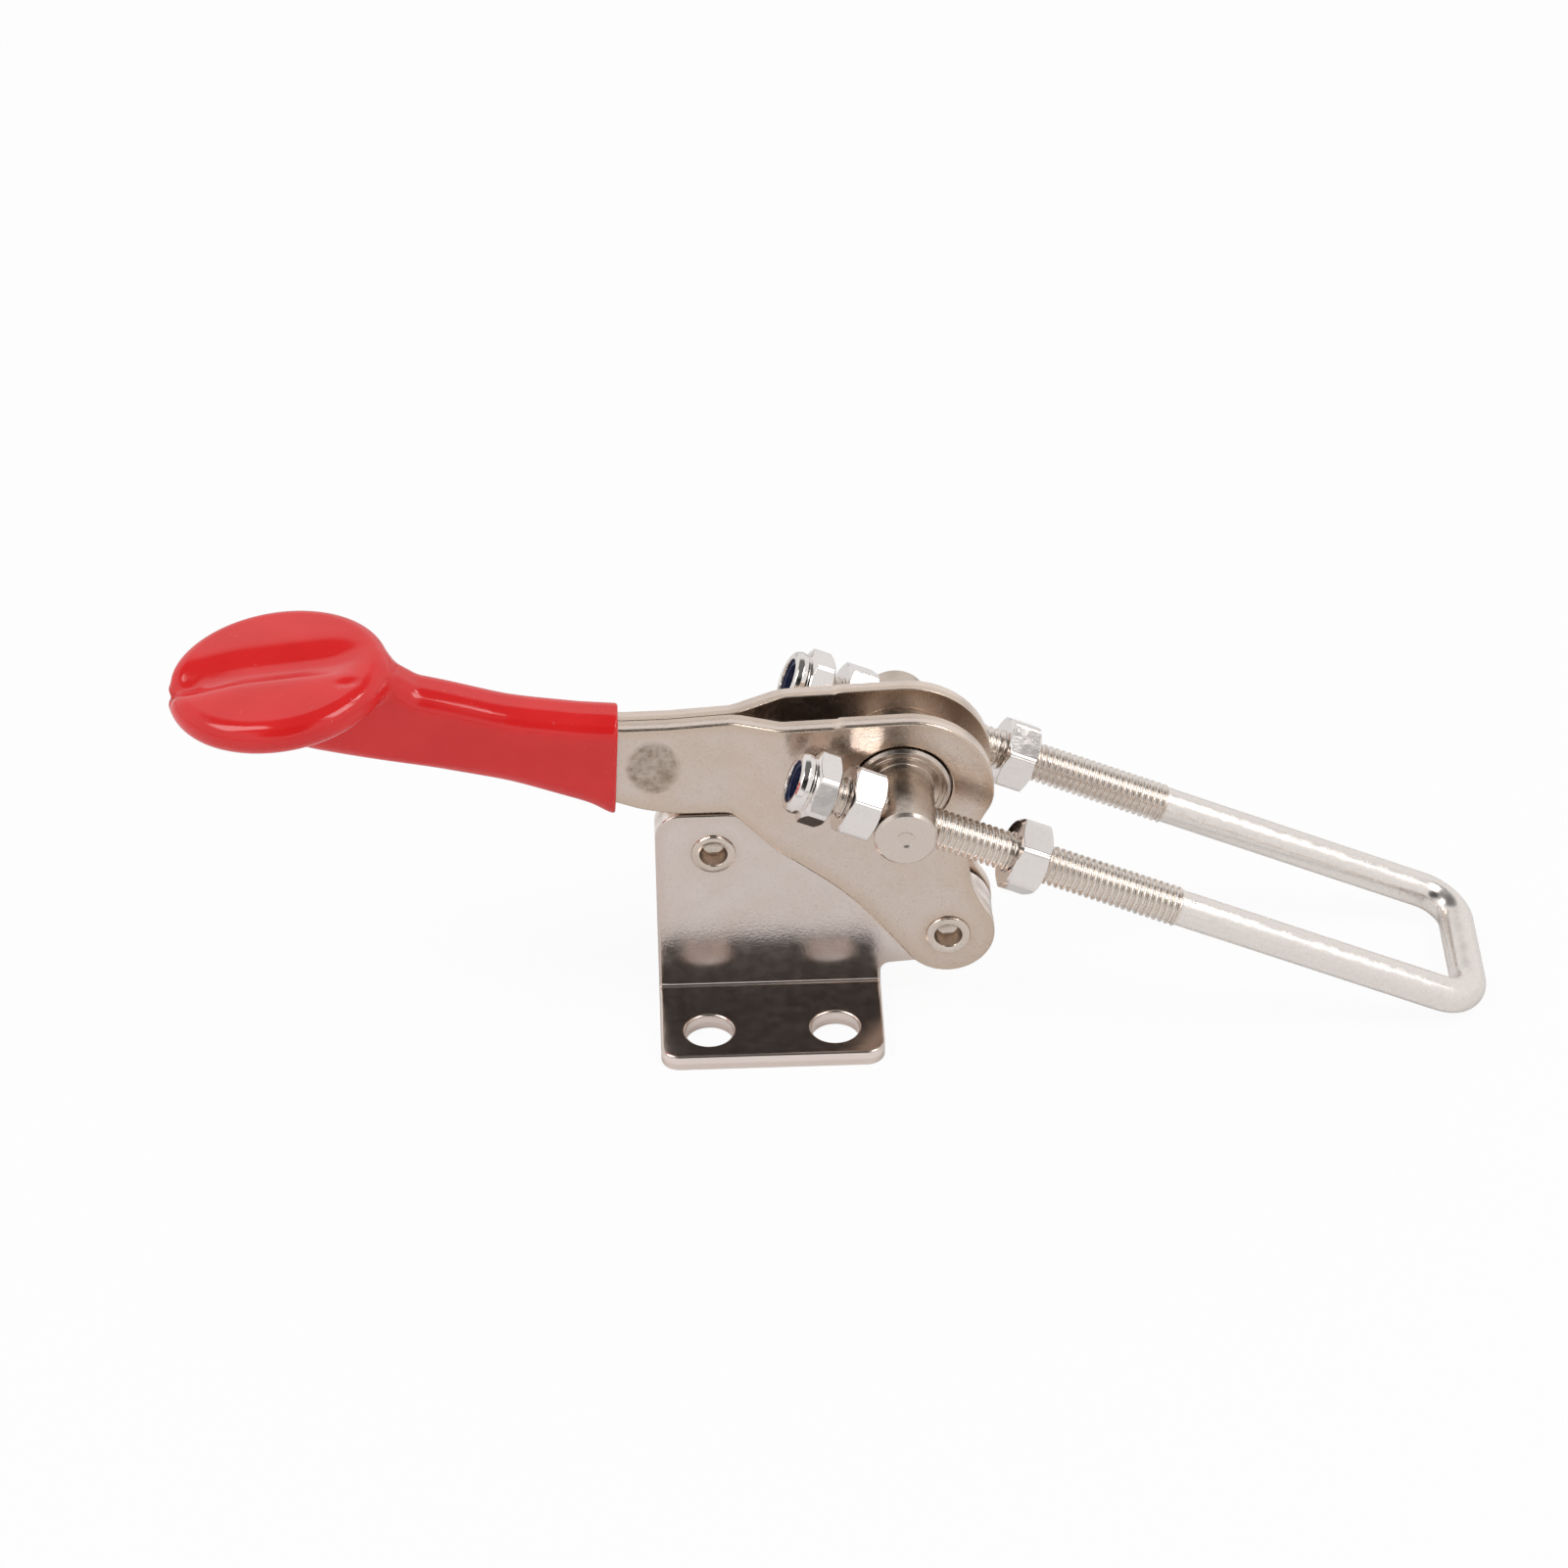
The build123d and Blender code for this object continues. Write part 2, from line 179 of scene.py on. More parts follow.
def circle(centre, radius, count=64):
    """Points of a circle, anticlockwise."""
    angle = np.arange(count) * 2 * math.pi / count
    return np.stack([centre[0] + radius * np.cos(angle), centre[1] + radius * np.sin(angle)], axis=1)


def densified(loop, longest):
    """The loop with its long sides cut into shorter ones."""
    out = []
    for a, b in zip(loop, np.roll(loop, -1, axis=0)):
        parts = max(1, math.ceil(np.linalg.norm(b - a) / longest))
        out.extend(a + (b - a) * k / parts for k in range(parts))
    return np.array(out)


def cleaned(loop, least=0.02):
    """The loop without points that repeat."""
    keep = np.linalg.norm(loop - np.roll(loop, 1, axis=0), axis=1) > least
    return loop[keep]


def signed_area(loop):
    """Area of a loop, above zero when it runs anticlockwise."""
    nxt = np.roll(loop, -1, axis=0)
    return 0.5 * float(np.sum(loop[:, 0] * nxt[:, 1] - loop[:, 1] * nxt[:, 0]))


def inward(loop):
    """Unit normals that point to the left of the loop's way, into the metal."""
    nxt = np.roll(loop, -1, axis=0) - loop
    nxt /= np.linalg.norm(nxt, axis=1)[:, None]
    left = np.stack([-nxt[:, 1], nxt[:, 0]], axis=1)
    both = left + np.roll(left, 1, axis=0)
    length = np.linalg.norm(both, axis=1)
    return both / length[:, None]


def inside(loop, points):
    """Which points lie inside a loop."""
    x, y = points[:, 0], points[:, 1]
    found = np.zeros(len(points), bool)
    for (x0, y0), (x1, y1) in zip(loop, np.roll(loop, -1, axis=0)):
        crosses = (y0 > y) != (y1 > y)
        with np.errstate(divide="ignore", invalid="ignore"):
            at = (x1 - x0) * (y - y0) / (y1 - y0) + x0
        found ^= crosses & (x < at)
    return found


def distance_to(loops, points):
    """Distance of points to the nearest side of any loop."""
    best = np.full(len(points), 1e9)
    for loop in loops:
        for a, b in zip(loop, np.roll(loop, -1, axis=0)):
            way = b - a
            t = np.clip(((points - a) @ way) / (way @ way), 0, 1)
            best = np.minimum(best, np.linalg.norm(points - a - t[:, None] * way, axis=1))
    return best


def tangent_angle(start, centre, radius, side):
    """Angle, about a circle's centre, of the place where the line from a point touches it."""
    dx, dz = centre[0] - start[0], centre[1] - start[1]
    spread = math.acos(radius / math.hypot(dx, dz))
    return math.atan2(-dz, -dx) - side * spread


def lobe_corners(before, after, centre, radius, side, count):
    """Corners whose arcs all centre on a lobe, between two tangent edges."""
    first = tangent_angle(before, centre, radius, side)
    last = tangent_angle(after, centre, radius, -side)
    sweep = (last - first) * -side % (2 * math.pi) * -side
    half_turn = sweep / count / 2
    reach = radius / math.cos(half_turn)
    angles = [first + (2 * i + 1) * half_turn for i in range(count)]
    return [((centre[0] + reach * math.cos(a), centre[1] + reach * math.sin(a)), radius) for a in angles]


def paddle_height(x):
    """Height of the middle of the paddle's sheet."""
    return PADDLE[1] + math.tan(PADDLE_TILT) * (x - PADDLE[0])


def lever_outline():
    """Outline of a lever plate in the side view."""
    belly, neck = (12.0, 21.3), (26.9, 26.5)
    left, right = PADDLE[0] - 13.61, PADDLE[0] + 13.93
    corners = [
        ((left, paddle_height(left)), 1.0),
        ((-66.5, 50.65), 20.0),
        ((-37.5, 43.35), 40.0),
        ((-18.7, 36.05), 12.0),
        ((-13.5, LEVER_LOW), 10.0),
        ((-5.0, LEVER_LOW), 5.0),
        (belly, 40.0),
        *lobe_corners(belly, neck, PIVOT, LEVER_LOBE, -1, 2),
        (neck, 17.5),
        ((33.5, 37.9), 6.5),
        ((33.3, 53.3), 12.8),
        ((10.8, 52.45), 0.1),
        ((10.4, 52.2), 0.1),
        ((4.0, 52.0), 60.0),
        ((-21.0, 50.35), 60.0),
        ((-38.0, 52.95), 40.0),
        ((right + 5.0, 56.75), 6.0),
        ((right, paddle_height(right)), 1.5),
    ]
    return cleaned(rounded(corners))


# Stamped sheets

def filled(flat, bounds, added):
    """Triangles between a sheet's outline, which comes first, and its holes, over added points."""
    edges, ids = [], []
    for bound in bounds:
        first, count = len(ids), len(bound)
        ids.extend(bound)
        edges.extend((first + i, first + (i + 1) % count) for i in range(count))
    ids.extend(added)
    spots = [Vector((float(flat[i][0]), float(flat[i][1]))) for i in ids]
    _, _, triangles, origin, _, _ = delaunay_2d_cdt(spots, edges, [], 0, 1e-6)
    corners = np.array([[ids[origin[c][0]] for c in triangle] for triangle in triangles])
    middles = flat[corners][:, :, :2].mean(axis=1)
    good = inside(flat[bounds[0], :2], middles)
    for bound in bounds[1:]:
        good &= ~inside(flat[bound, :2], middles)
    return corners[good]


def stamped(outline, holes, soft_edge, burr_edge, bend, grid):
    """A punched sheet: an outline with holes, edges rounded by the punch on the front and
    less on the back, laid along its bends. bend maps (u, v, w) to points and a frame.
    grid gives inner points, so that the sheet can follow its bends.
    """
    loops = [densified(outline if signed_area(outline) > 0 else outline[::-1], 1.2)]
    loops += [hole if signed_area(hole) < 0 else hole[::-1] for hole in holes]
    arc = [k * math.pi / 8 for k in range(5)]
    rings = []
    for phi in arc[::-1]:
        rings.append((burr_edge * (1 - math.cos(phi)), -HALF + burr_edge * (1 - math.sin(phi)), -phi))
    for phi in arc:
        rings.append((soft_edge * (1 - math.cos(phi)), HALF - soft_edge * (1 - math.sin(phi)), phi))
    flat, normal, faces, starts = [], [], [], []
    for loop in loops:
        start, count, into = len(flat), len(loop), inward(loop)
        starts.append((start, count))
        for inset, w, phi in rings:
            for p, n in zip(loop, into):
                flat.append((*(p + n * inset), w))
                normal.append((*(-n * math.cos(phi)), math.sin(phi)))
        for r in range(len(rings) - 1):
            for i in range(count):
                a, b = start + r * count + i, start + r * count + (i + 1) % count
                faces.append((a, b, b + count, a + count))
    keep = distance_to(loops, grid) > 0.8
    inner = grid[keep & inside(loops[0], grid)]
    for loop in loops[1:]:
        inner = inner[~inside(loop, inner)]
    flat = np.array(flat)
    for ring, w, sign in ((0, -HALF, -1), (len(rings) - 1, HALF, 1)):
        bounds = [range(start + ring * count, start + (ring + 1) * count) for start, count in starts]
        added = range(len(flat), len(flat) + len(inner))
        flat = np.vstack([flat, np.column_stack([inner, np.full(len(inner), w)])])
        normal.extend([(0.0, 0.0, float(sign))] * len(inner))
        for a, b, c in filled(flat, bounds, added):
            faces.append((a, b, c) if sign > 0 else (a, c, b))
    normal = np.array(normal)
    points, u_way, v_way, w_way = bend(flat[:, 0], flat[:, 1], flat[:, 2])
    turned = normal[:, :1] * u_way + normal[:, 1:2] * v_way + normal[:, 2:] * w_way
    turned /= np.linalg.norm(turned, axis=1)[:, None]
    facts = {
        "rim": np.clip(distance_to(loops, flat[:, :2]), 0, 20),
        "depth": flat[:, 2] / HALF,
        "wall": 1 - np.abs(normal[:, 2]),
    }
    return points, faces, turned, facts


def inner_grid(x0, x1, z0, z1, spacing):
    """A grid of points over a rectangle, every other row shifted by half a step."""
    xs, zs = np.arange(x0, x1, spacing), np.arange(z0, z1, spacing)
    gx, gz = np.meshgrid(xs, zs)
    gx[1::2] += spacing / 2
    return np.stack([gx.ravel(), gz.ravel()], axis=1)


def columns(count, x, y, z):
    """Three columns, each a number or one value for each point."""
    return np.stack([np.broadcast_to(np.asarray(c, float), (count,)) for c in (x, y, z)], axis=1)


JOGGLE_START, JOGGLE_END, JOGGLE_RADIUS = -4.743, 2.257, 4.75


def joggle(x):
    """Side shift of the lever sheet's middle at x, and the slope angle there."""
    slope = math.atan2(LEVER_GAP_HALF, JOGGLE_END - JOGGLE_START)
    reach = JOGGLE_RADIUS * math.tan(slope / 2)
    shift, angle = np.zeros_like(x), np.zeros_like(x)
    first = (x > JOGGLE_START - reach) & (x < JOGGLE_START + reach * math.cos(slope))
    angle[first] = np.arcsin((x[first] - JOGGLE_START + reach) / JOGGLE_RADIUS)
    shift[first] = JOGGLE_RADIUS * (1 - np.cos(angle[first]))
    middle = (x >= JOGGLE_START + reach * math.cos(slope)) & (x <= JOGGLE_END - reach * math.cos(slope))
    angle[middle] = slope
    shift[middle] = (x[middle] - JOGGLE_START) * math.tan(slope)
    second = (x > JOGGLE_END - reach * math.cos(slope)) & (x < JOGGLE_END + reach)
    angle[second] = np.arcsin((JOGGLE_END + reach - x[second]) / JOGGLE_RADIUS)
    shift[second] = LEVER_GAP_HALF - JOGGLE_RADIUS * (1 - np.cos(angle[second]))
    shift[x >= JOGGLE_END + reach] = LEVER_GAP_HALF
    return shift, angle


def lever_bend(u, v, w):
    """Lays the lever plate along its joggle: near side outwards is -Y."""
    shift, angle = joggle(u)
    count = len(u)
    w_way = columns(count, -np.sin(angle), -np.cos(angle), 0)
    u_way = columns(count, np.cos(angle), -np.sin(angle), 0)
    v_way = columns(count, 0, 0, 1)
    middle = columns(count, u, -HALF - shift, v)
    return middle + w_way * w[:, None], u_way, v_way, w_way


FOLD_RADIUS = 1.75
FOLD_CENTRE = 3.0
FOLD_LENGTH = FOLD_RADIUS * math.pi / 2


def bracket_bend(u, v, w):
    """Lays the bracket along its fold: v runs up the upright and, below 0, out the flange."""
    count = len(u)
    angle = np.clip(-v / FOLD_RADIUS, 0, math.pi / 2)
    up, out = np.maximum(v, 0), np.maximum(-v - FOLD_LENGTH, 0)
    w_way = columns(count, 0, -np.cos(angle), np.sin(angle))
    v_way = columns(count, 0, np.sin(angle), np.cos(angle))
    u_way = columns(count, 1, 0, 0)
    middle = columns(
        count,
        u,
        -FOLD_CENTRE + FOLD_RADIUS * np.cos(angle) - out,
        FOLD_CENTRE - FOLD_RADIUS * np.sin(angle) + up,
    )
    return middle + w_way * w[:, None], u_way, v_way, w_way


def bracket_outline():
    """Flat pattern of a bracket: the upright as in the side view, with the flange below it."""
    foot = -(FOLD_LENGTH + FLANGE_REACH - FOLD_CENTRE)
    under = (BASE_HALF, 5.6)
    dip = (4.0, 27.3)
    upright = [
        ((-BASE_HALF, BRACKET_HEIGHT), 4.0),
        ((-4.7, BRACKET_HEIGHT), 4.0),
        (dip, 10.0),
        *lobe_corners(dip, under, PIVOT, BRACKET_LOBE, 1, 1),
        (under, 1.6),
    ]
    corners = [((-BASE_HALF, foot), 2.8)]
    corners += [((x, z - FOLD_CENTRE), radius) for (x, z), radius in upright]
    corners += [((BASE_HALF, foot), 2.8)]
    return cleaned(rounded(corners))


# Turned pieces

def turned(profile, start, axis, segments=96, across=None):
    """A turned piece: a closed half section of (along, radius, corner radius) about an axis."""
    loop = cleaned(rounded([((s, r), c) for s, r, c in profile], math.radians(18)), 0.004)
    if signed_area(loop) < 0:
        loop = loop[::-1]
    axis = np.asarray(axis, float)
    side = np.array([0.0, 0, 1]) if across is None else np.asarray(across, float)
    side = side - axis * (side @ axis)
    side /= np.linalg.norm(side)
    other = np.cross(axis, side)
    points, faces = [], []
    for i in range(segments):
        angle = 2 * math.pi * i / segments
        ray = math.cos(angle) * side + math.sin(angle) * other
        points.extend(np.asarray(start) + s * axis + max(r, 0) * ray for s, r in loop)
    count = len(loop)
    for i in range(segments):
        j = (i + 1) % segments
        for k in range(count):
            m = (k + 1) % count
            faces.append((i * count + k, i * count + m, j * count + m, j * count + k))
    return closed_up(np.array(points), faces)


def closed_up(points, faces):
    """Merge points that meet, drop faces with no area and turn all faces outwards."""
    work = bmesh.new()
    verts = [work.verts.new(tuple(p)) for p in points]
    for face in faces:
        work.faces.new([verts[i] for i in face])
    bmesh.ops.remove_doubles(work, verts=work.verts, dist=0.0015)
    bmesh.ops.dissolve_degenerate(work, edges=work.edges, dist=0.0005)
    bmesh.ops.recalc_face_normals(work, faces=work.faces)
    work.verts.index_update()
    out = np.array([v.co[:] for v in work.verts])
    found = [tuple(v.index for v in face.verts) for face in work.faces]
    work.free()
    return out, found


def rod_point(along, side=-1, off=0.0):
    """Point on a rod's axis at a distance from the cross pin, on the near or far rod."""
    return CROSS_POINT + ROD_AXIS * along + np.array([0.0, side * (ROD_Y + off), 0.0])


def nut(start, length, turn, side, collar=None):
    """A hexagon nut on a rod. Each ray from its axis has a half section of its own, so that
    the turned corners meet the flats in true curves. collar adds the lock nut's round crown.
    """
    flats, bore = NUT_FLATS, NUT_BORE
    rays = []
    for k in range(6):
        for t in (-30, -29.2, -28.4, -27, -24, -20, -15, -10, -5, 0, 5, 10, 15, 20, 24, 27, 28.4, 29.2):
            rays.append((60 * k + t, t))
    corner_soft = 0.22
    face_radius = flats / 2 * 0.965
    origin = rod_point(start, side)
    points, faces = [], []
    for angle, t in rays:
        reach = flats / 2 / math.cos(math.radians(t))
        sharp = flats / 2 / math.cos(math.radians(30))
        reach = min(reach, sharp - corner_soft * (1 - abs(30 - abs(t)) / 6) if abs(t) > 24 else reach)
        slope = math.tan(math.radians(28))
        cut = max(0.0, (reach - face_radius) * slope) + 0.05
        hex_start = 0.0 if collar is None else collar
        section = [
            (length, bore + 0.55, 0.05),
            (length, face_radius, 0.10),
            (length - cut, reach, 0.12),
            (hex_start + cut, reach, 0.12),
        ]
        if collar is None:
            section += [(0.0, face_radius, 0.10), (0.0, bore + 0.55, 0.05), (0.5, bore, 0.05)]
        else:
            section += [
                (hex_start - 0.02, face_radius - 0.12, 0.05),
                (hex_start - 0.22, 4.28, 0.12),
                (hex_start - 0.62, 4.52, 0.25),
                (1.05, 4.60, 0.55),
                (0.30, 4.30, 0.40),
                (0.02, 3.72, 0.30),
                (0.12, 3.22, 0.16),
                (0.55, 3.15, 0.10),
                (0.60, 3.60, 0.02),
                (1.60, 3.60, 0.02),
                (1.70, bore, 0.02),
            ]
        section += [(length - 0.5, bore, 0.05)]
        loop = rounded_same([((s, r), c) for s, r, c in section], 3)
        turn_by = math.radians(angle + turn + 30)
        ray = math.cos(turn_by) * np.array([0, 1.0, 0]) * -side + math.sin(turn_by) * ROD_NORMAL
        points.extend(origin + s * ROD_AXIS + r * ray for s, r in loop)
    count = len(loop)
    for i in range(len(rays)):
        j = (i + 1) % len(rays)
        for k in range(count):
            m = (k + 1) % count
            faces.append((i * count + k, i * count + m, j * count + m, j * count + k))
    return closed_up(np.array(points), faces)


def rounded_same(corners, parts):
    """Like rounded(), with the same count of points whatever the corners' angles are."""
    points = []
    count = len(corners)
    for i in range(count):
        (before, _), (corner, radius), (after, _) = corners[i - 1], corners[i], corners[(i + 1) % count]
        b, c, a = np.array(before), np.array(corner), np.array(after)
        into, out = c - b, a - c
        room = 0.45 * min(np.linalg.norm(into), np.linalg.norm(out))
        into /= max(np.linalg.norm(into), 1e-9)
        out /= max(np.linalg.norm(out), 1e-9)
        turn = math.atan2(into[0] * out[1] - into[1] * out[0], into @ out)
        reach = min(radius * math.tan(abs(turn) / 2), room)
        p, q = c - into * reach, c + out * reach
        for k in range(parts + 1):
            t = k / parts
            points.append((1 - t) ** 2 * p + 2 * t * (1 - t) * c + t**2 * q)
    return np.array(points)


# Thread, made by Geometry Nodes from one turn

def thread_radius(t):
    """Radius of the rolled thread at a share of the pitch from its crest."""
    flat_crest, root_start, depth = 0.06, 0.43, 0.58
    t = abs((t + 0.5) % 1 - 0.5)
    share = min(1, max(0, (t - flat_crest) / (root_start - flat_crest)))
    return THREAD_RADIUS - depth * share


THREAD_SHARES = (-0.5, -0.42, -0.30, -0.16, -0.07, 0.0, 0.07, 0.16, 0.30, 0.42, 0.5)


def thread_turn(name, side):
    """One turn of thread about a rod's axis, starting at the cross pin's axis."""
    steps = 44
    points, faces = [], []
    for i in range(steps + 1):
        angle = 2 * math.pi * i / steps
        ray = math.cos(angle) * np.array([0.0, 1.0, 0.0]) + math.sin(angle) * ROD_NORMAL
        for t in THREAD_SHARES:
            along = (t + i / steps) * PITCH
            points.append(rod_point(along, side) + thread_radius(t) * ray)
    width = len(THREAD_SHARES)
    for i in range(steps):
        for k in range(width - 1):
            a = i * width + k
            faces.append((a, a + width, a + width + 1, a + 1))
    return make_piece(name, points, [tuple(reversed(f)) for f in faces])


def repeat_tree(name, source, material):
    """Geometry Nodes that set copies of a source piece along a straight line."""
    tree = bpy.data.node_groups.new(name, "GeometryNodeTree")
    tree.interface.new_socket("Geometry", in_out="INPUT", socket_type="NodeSocketGeometry")
    turns = tree.interface.new_socket("Turns", in_out="INPUT", socket_type="NodeSocketInt")
    first = tree.interface.new_socket("First", in_out="INPUT", socket_type="NodeSocketVector")
    step = tree.interface.new_socket("Step", in_out="INPUT", socket_type="NodeSocketVector")
    tree.interface.new_socket("Geometry", in_out="OUTPUT", socket_type="NodeSocketGeometry")
    nodes, links = tree.nodes, tree.links
    given, result = nodes.new("NodeGroupInput"), nodes.new("NodeGroupOutput")
    line = nodes.new("GeometryNodeMeshLine")
    line.mode = "OFFSET"
    info = nodes.new("GeometryNodeObjectInfo")
    info.inputs["Object"].default_value = source
    copies = nodes.new("GeometryNodeInstanceOnPoints")
    real = nodes.new("GeometryNodeRealizeInstances")
    weld = nodes.new("GeometryNodeMergeByDistance")
    weld.inputs["Distance"].default_value = 0.002 * MM
    paint = nodes.new("GeometryNodeSetMaterial")
    paint.inputs["Material"].default_value = material
    links.new(given.outputs["Turns"], line.inputs["Count"])
    links.new(given.outputs["First"], line.inputs["Start Location"])
    links.new(given.outputs["Step"], line.inputs["Offset"])
    links.new(line.outputs["Mesh"], copies.inputs["Points"])
    links.new(info.outputs["Geometry"], copies.inputs["Instance"])
    links.new(copies.outputs["Instances"], real.inputs["Geometry"])
    links.new(real.outputs["Geometry"], weld.inputs["Geometry"])
    links.new(weld.outputs["Geometry"], paint.inputs["Geometry"])
    links.new(paint.outputs["Geometry"], result.inputs["Geometry"])
    return tree, turns.identifier, first.identifier, step.identifier


def thread_on(side, material, first, last):
    """The thread of one rod, from first to last millimetres from the cross pin."""
    word = "near" if side < 0 else "far"
    turn = thread_turn(f"thread_turn_{word}", side)
    tree, turns_id, first_id, step_id = repeat_tree(f"thread_{word}", turn, material)
    carrier = make_piece(f"u_hook_thread_{word}", [(0, 0, 0), (1, 0, 0), (0, 1, 0)], [(0, 1, 2)])
    modifier = carrier.modifiers.new("thread", "NODES")
    modifier.node_group = tree
    modifier[turns_id] = round((last - first) / PITCH)
    modifier[first_id] = [float(c) for c in ROD_AXIS * first * MM]
    modifier[step_id] = [float(c) for c in ROD_AXIS * PITCH * MM]
    bpy.context.view_layer.update()
    evaluated = carrier.evaluated_get(bpy.context.evaluated_depsgraph_get())
    mesh = bpy.data.meshes.new_from_object(evaluated)
    carrier.modifiers.clear()
    carrier.data = mesh
    mesh.polygons.foreach_set("use_smooth", [True] * len(mesh.polygons))
    mesh.set_sharp_from_angle(angle=math.radians(75))
    bpy.data.objects.remove(turn)
    return carrier


# U-hook

def hook_rod():
    """The bent rod between the two threads, swept along the hook's plane."""
    corner, start = HOOK_REACH - HOOK_BEND, THREAD_END - 0.25
    path, ways = [], []
    for s in np.linspace(start, corner, 24):
        path.append((s, -ROD_Y))
        ways.append(0.0)
    for k in range(1, 25):
        angle = math.pi / 2 * k / 24
        path.append((corner + HOOK_BEND * math.sin(angle), -ROD_Y + HOOK_BEND * (1 - math.cos(angle))))
        ways.append(angle)
    for y in np.linspace(-ROD_Y + HOOK_BEND, ROD_Y - HOOK_BEND, 12)[1:]:
        path.append((HOOK_REACH, y))
        ways.append(math.pi / 2)
    for k in range(1, 25):
        angle = math.pi / 2 * k / 24
        path.append((corner + HOOK_BEND * math.cos(angle), ROD_Y - HOOK_BEND + HOOK_BEND * math.sin(angle)))
        ways.append(math.pi / 2 + angle)
    for s in np.linspace(corner, start, 24)[1:]:
        path.append((s, ROD_Y))
        ways.append(math.pi)
    segments = 56
    points, normals, faces = [], [], []
    for (s, y), way in zip(path, ways):
        middle = CROSS_POINT + ROD_AXIS * s + np.array([0, y, 0])
        across = -math.sin(way) * ROD_AXIS + math.cos(way) * np.array([0, 1.0, 0])
        for i in range(segments):
            angle = 2 * math.pi * i / segments
            ray = math.cos(angle) * across + math.sin(angle) * ROD_NORMAL
            points.append(middle + ROD_RADIUS * ray)
            normals.append(ray)
    for j in range(len(path) - 1):
        for i in range(segments):
            a, b = j * segments + i, j * segments + (i + 1) % segments
            faces.append((a, b, b + segments, a + segments))
    return points, faces, normals


# Vinyl grip, as the surface of a distance field

def smooth_least(a, b, k):
    """The lesser of two distances, blended over k where they meet."""
    h = np.clip(0.5 + 0.5 * (b - a) / k, 0, 1)
    return b * (1 - h) + a * h - k * h * (1 - h)


def smooth_most(a, b, k):
    """The greater of two distances, blended over k where they meet."""
    return -smooth_least(-a, -b, k)


def step_between(x, a, b):
    """0 below a, 1 above b and smooth between."""
    t = np.clip((x - a) / (b - a), 0, 1)
    return t * t * (3 - 2 * t)


class SideField:
    """Signed distance to the lever's outline in the side view, read from a fine grid."""

    def __init__(self, loop, x0, x1, z0, z1, spacing):
        self.x0, self.z0, self.spacing = x0, z0, spacing
        xs, zs = np.arange(x0, x1, spacing), np.arange(z0, z1, spacing)
        gx, gz = np.meshgrid(xs, zs, indexing="ij")
        points = np.stack([gx.ravel(), gz.ravel()], axis=1)
        near = distance_to([loop], points)
        near[inside(loop, points)] *= -1
        self.values = near.reshape(gx.shape)

    def at(self, x, z):
        fx, fz = (x - self.x0) / self.spacing, (z - self.z0) / self.spacing
        i = np.clip(fx.astype(int), 0, self.values.shape[0] - 2)
        j = np.clip(fz.astype(int), 0, self.values.shape[1] - 2)
        tx, tz = np.clip(fx - i, 0, 1), np.clip(fz - j, 0, 1)
        v = self.values
        low = v[i, j] * (1 - tx) + v[i + 1, j] * tx
        high = v[i, j + 1] * (1 - tx) + v[i + 1, j + 1] * tx
        return low * (1 - tz) + high * tz


def grip_distance(side, x, y, z):
    """Signed distance to the vinyl's outside: the arm, the two-lobed paddle and the cut end."""
    arm_round, arm_half = 3.1, SHEET + VINYL
    fullness, shoulder, shoulder_x, shoulder_reach = 0.35, 0.45, -49.0, 9.5
    lip, lip_x, lip_reach = 0.75, -22.9, 2.4
    rise = shoulder * np.exp(-(((x - shoulder_x) / shoulder_reach) ** 2))
    swell = (fullness + rise) * step_between(z, 45.0, 49.0)
    flare = lip * np.exp(-(((x - lip_x) / lip_reach) ** 2)) * step_between(-z, -41.2, -36.2)
    across = side.at(x, z) - VINYL - flare - swell + arm_round
    thick = np.abs(y) - arm_half + arm_round
    arm = np.hypot(np.maximum(across, 0), np.maximum(thick, 0))
    arm = arm + np.minimum(np.maximum(across, thick), 0) - arm_round
    ct, st = math.cos(PADDLE_TILT), math.sin(PADDLE_TILT)
    outwards, lift, aside = 0.3, 0.5, 0.2
    over, above, y = x - PADDLE[0] + outwards, z - PADDLE[1] - lift, y - aside
    u = over * ct + above * st
    w = -over * st + above * ct
    reach = np.sqrt((u / PADDLE_A) ** 2 + (y / PADDLE_B) ** 2) + 1e-6
    slope = np.sqrt((u / PADDLE_A**2) ** 2 + (y / PADDLE_B**2) ** 2) + 1e-6
    rim = (reach - 1) * reach / slope
    crease_start, crease_drift = -0.7, 1.2
    crease = y - crease_start - crease_drift * step_between(u, -14.0, -4.0)
    notch_depth, notch_width = 0.5, 1.3
    rim = rim + notch_depth * np.exp(-((crease / notch_width) ** 2)) * step_between(-u, 9.0, 15.0)
    valley_depth, valley_width = 1.75, 2.1
    along = step_between(-u, -14.5, -7.0)
    valley = valley_depth * np.exp(-0.5 * (crease / valley_width) ** 2) * along
    dimple = 0.35 * np.exp(-(((u - 10.6) / 1.5) ** 2) - (((y + 6.0) / 0.9) ** 2))
    dome = 0.35 * (1 - np.minimum(reach, 1) ** 2)
    top, bottom, edge = HALF + VINYL - 0.3 + dome - valley - dimple, HALF + VINYL, 2.5
    thick = np.where(w > 0, w - top, -w - bottom) + edge
    across = rim + edge
    pad = np.hypot(np.maximum(across, 0), np.maximum(thick, 0))
    pad = pad + np.minimum(np.maximum(across, thick), 0) - edge
    web, cut_round, slant = 1.5, 0.5, math.radians(-3.0)
    both = smooth_least(arm, pad, web)
    end = (x - GRIP_END) * math.cos(slant) + (z - LEVER_LOW) * math.sin(slant)
    return smooth_most(both, end, cut_round)


def slope_of(field, points):
    """How fast a distance field grows along each axis."""
    nudge = 0.02
    parts = []
    for n in range(3):
        d = np.zeros(3)
        d[n] = nudge
        parts.append((field(*(points + d).T) - field(*(points - d).T)) / (2 * nudge))
    return np.stack(parts, axis=1)


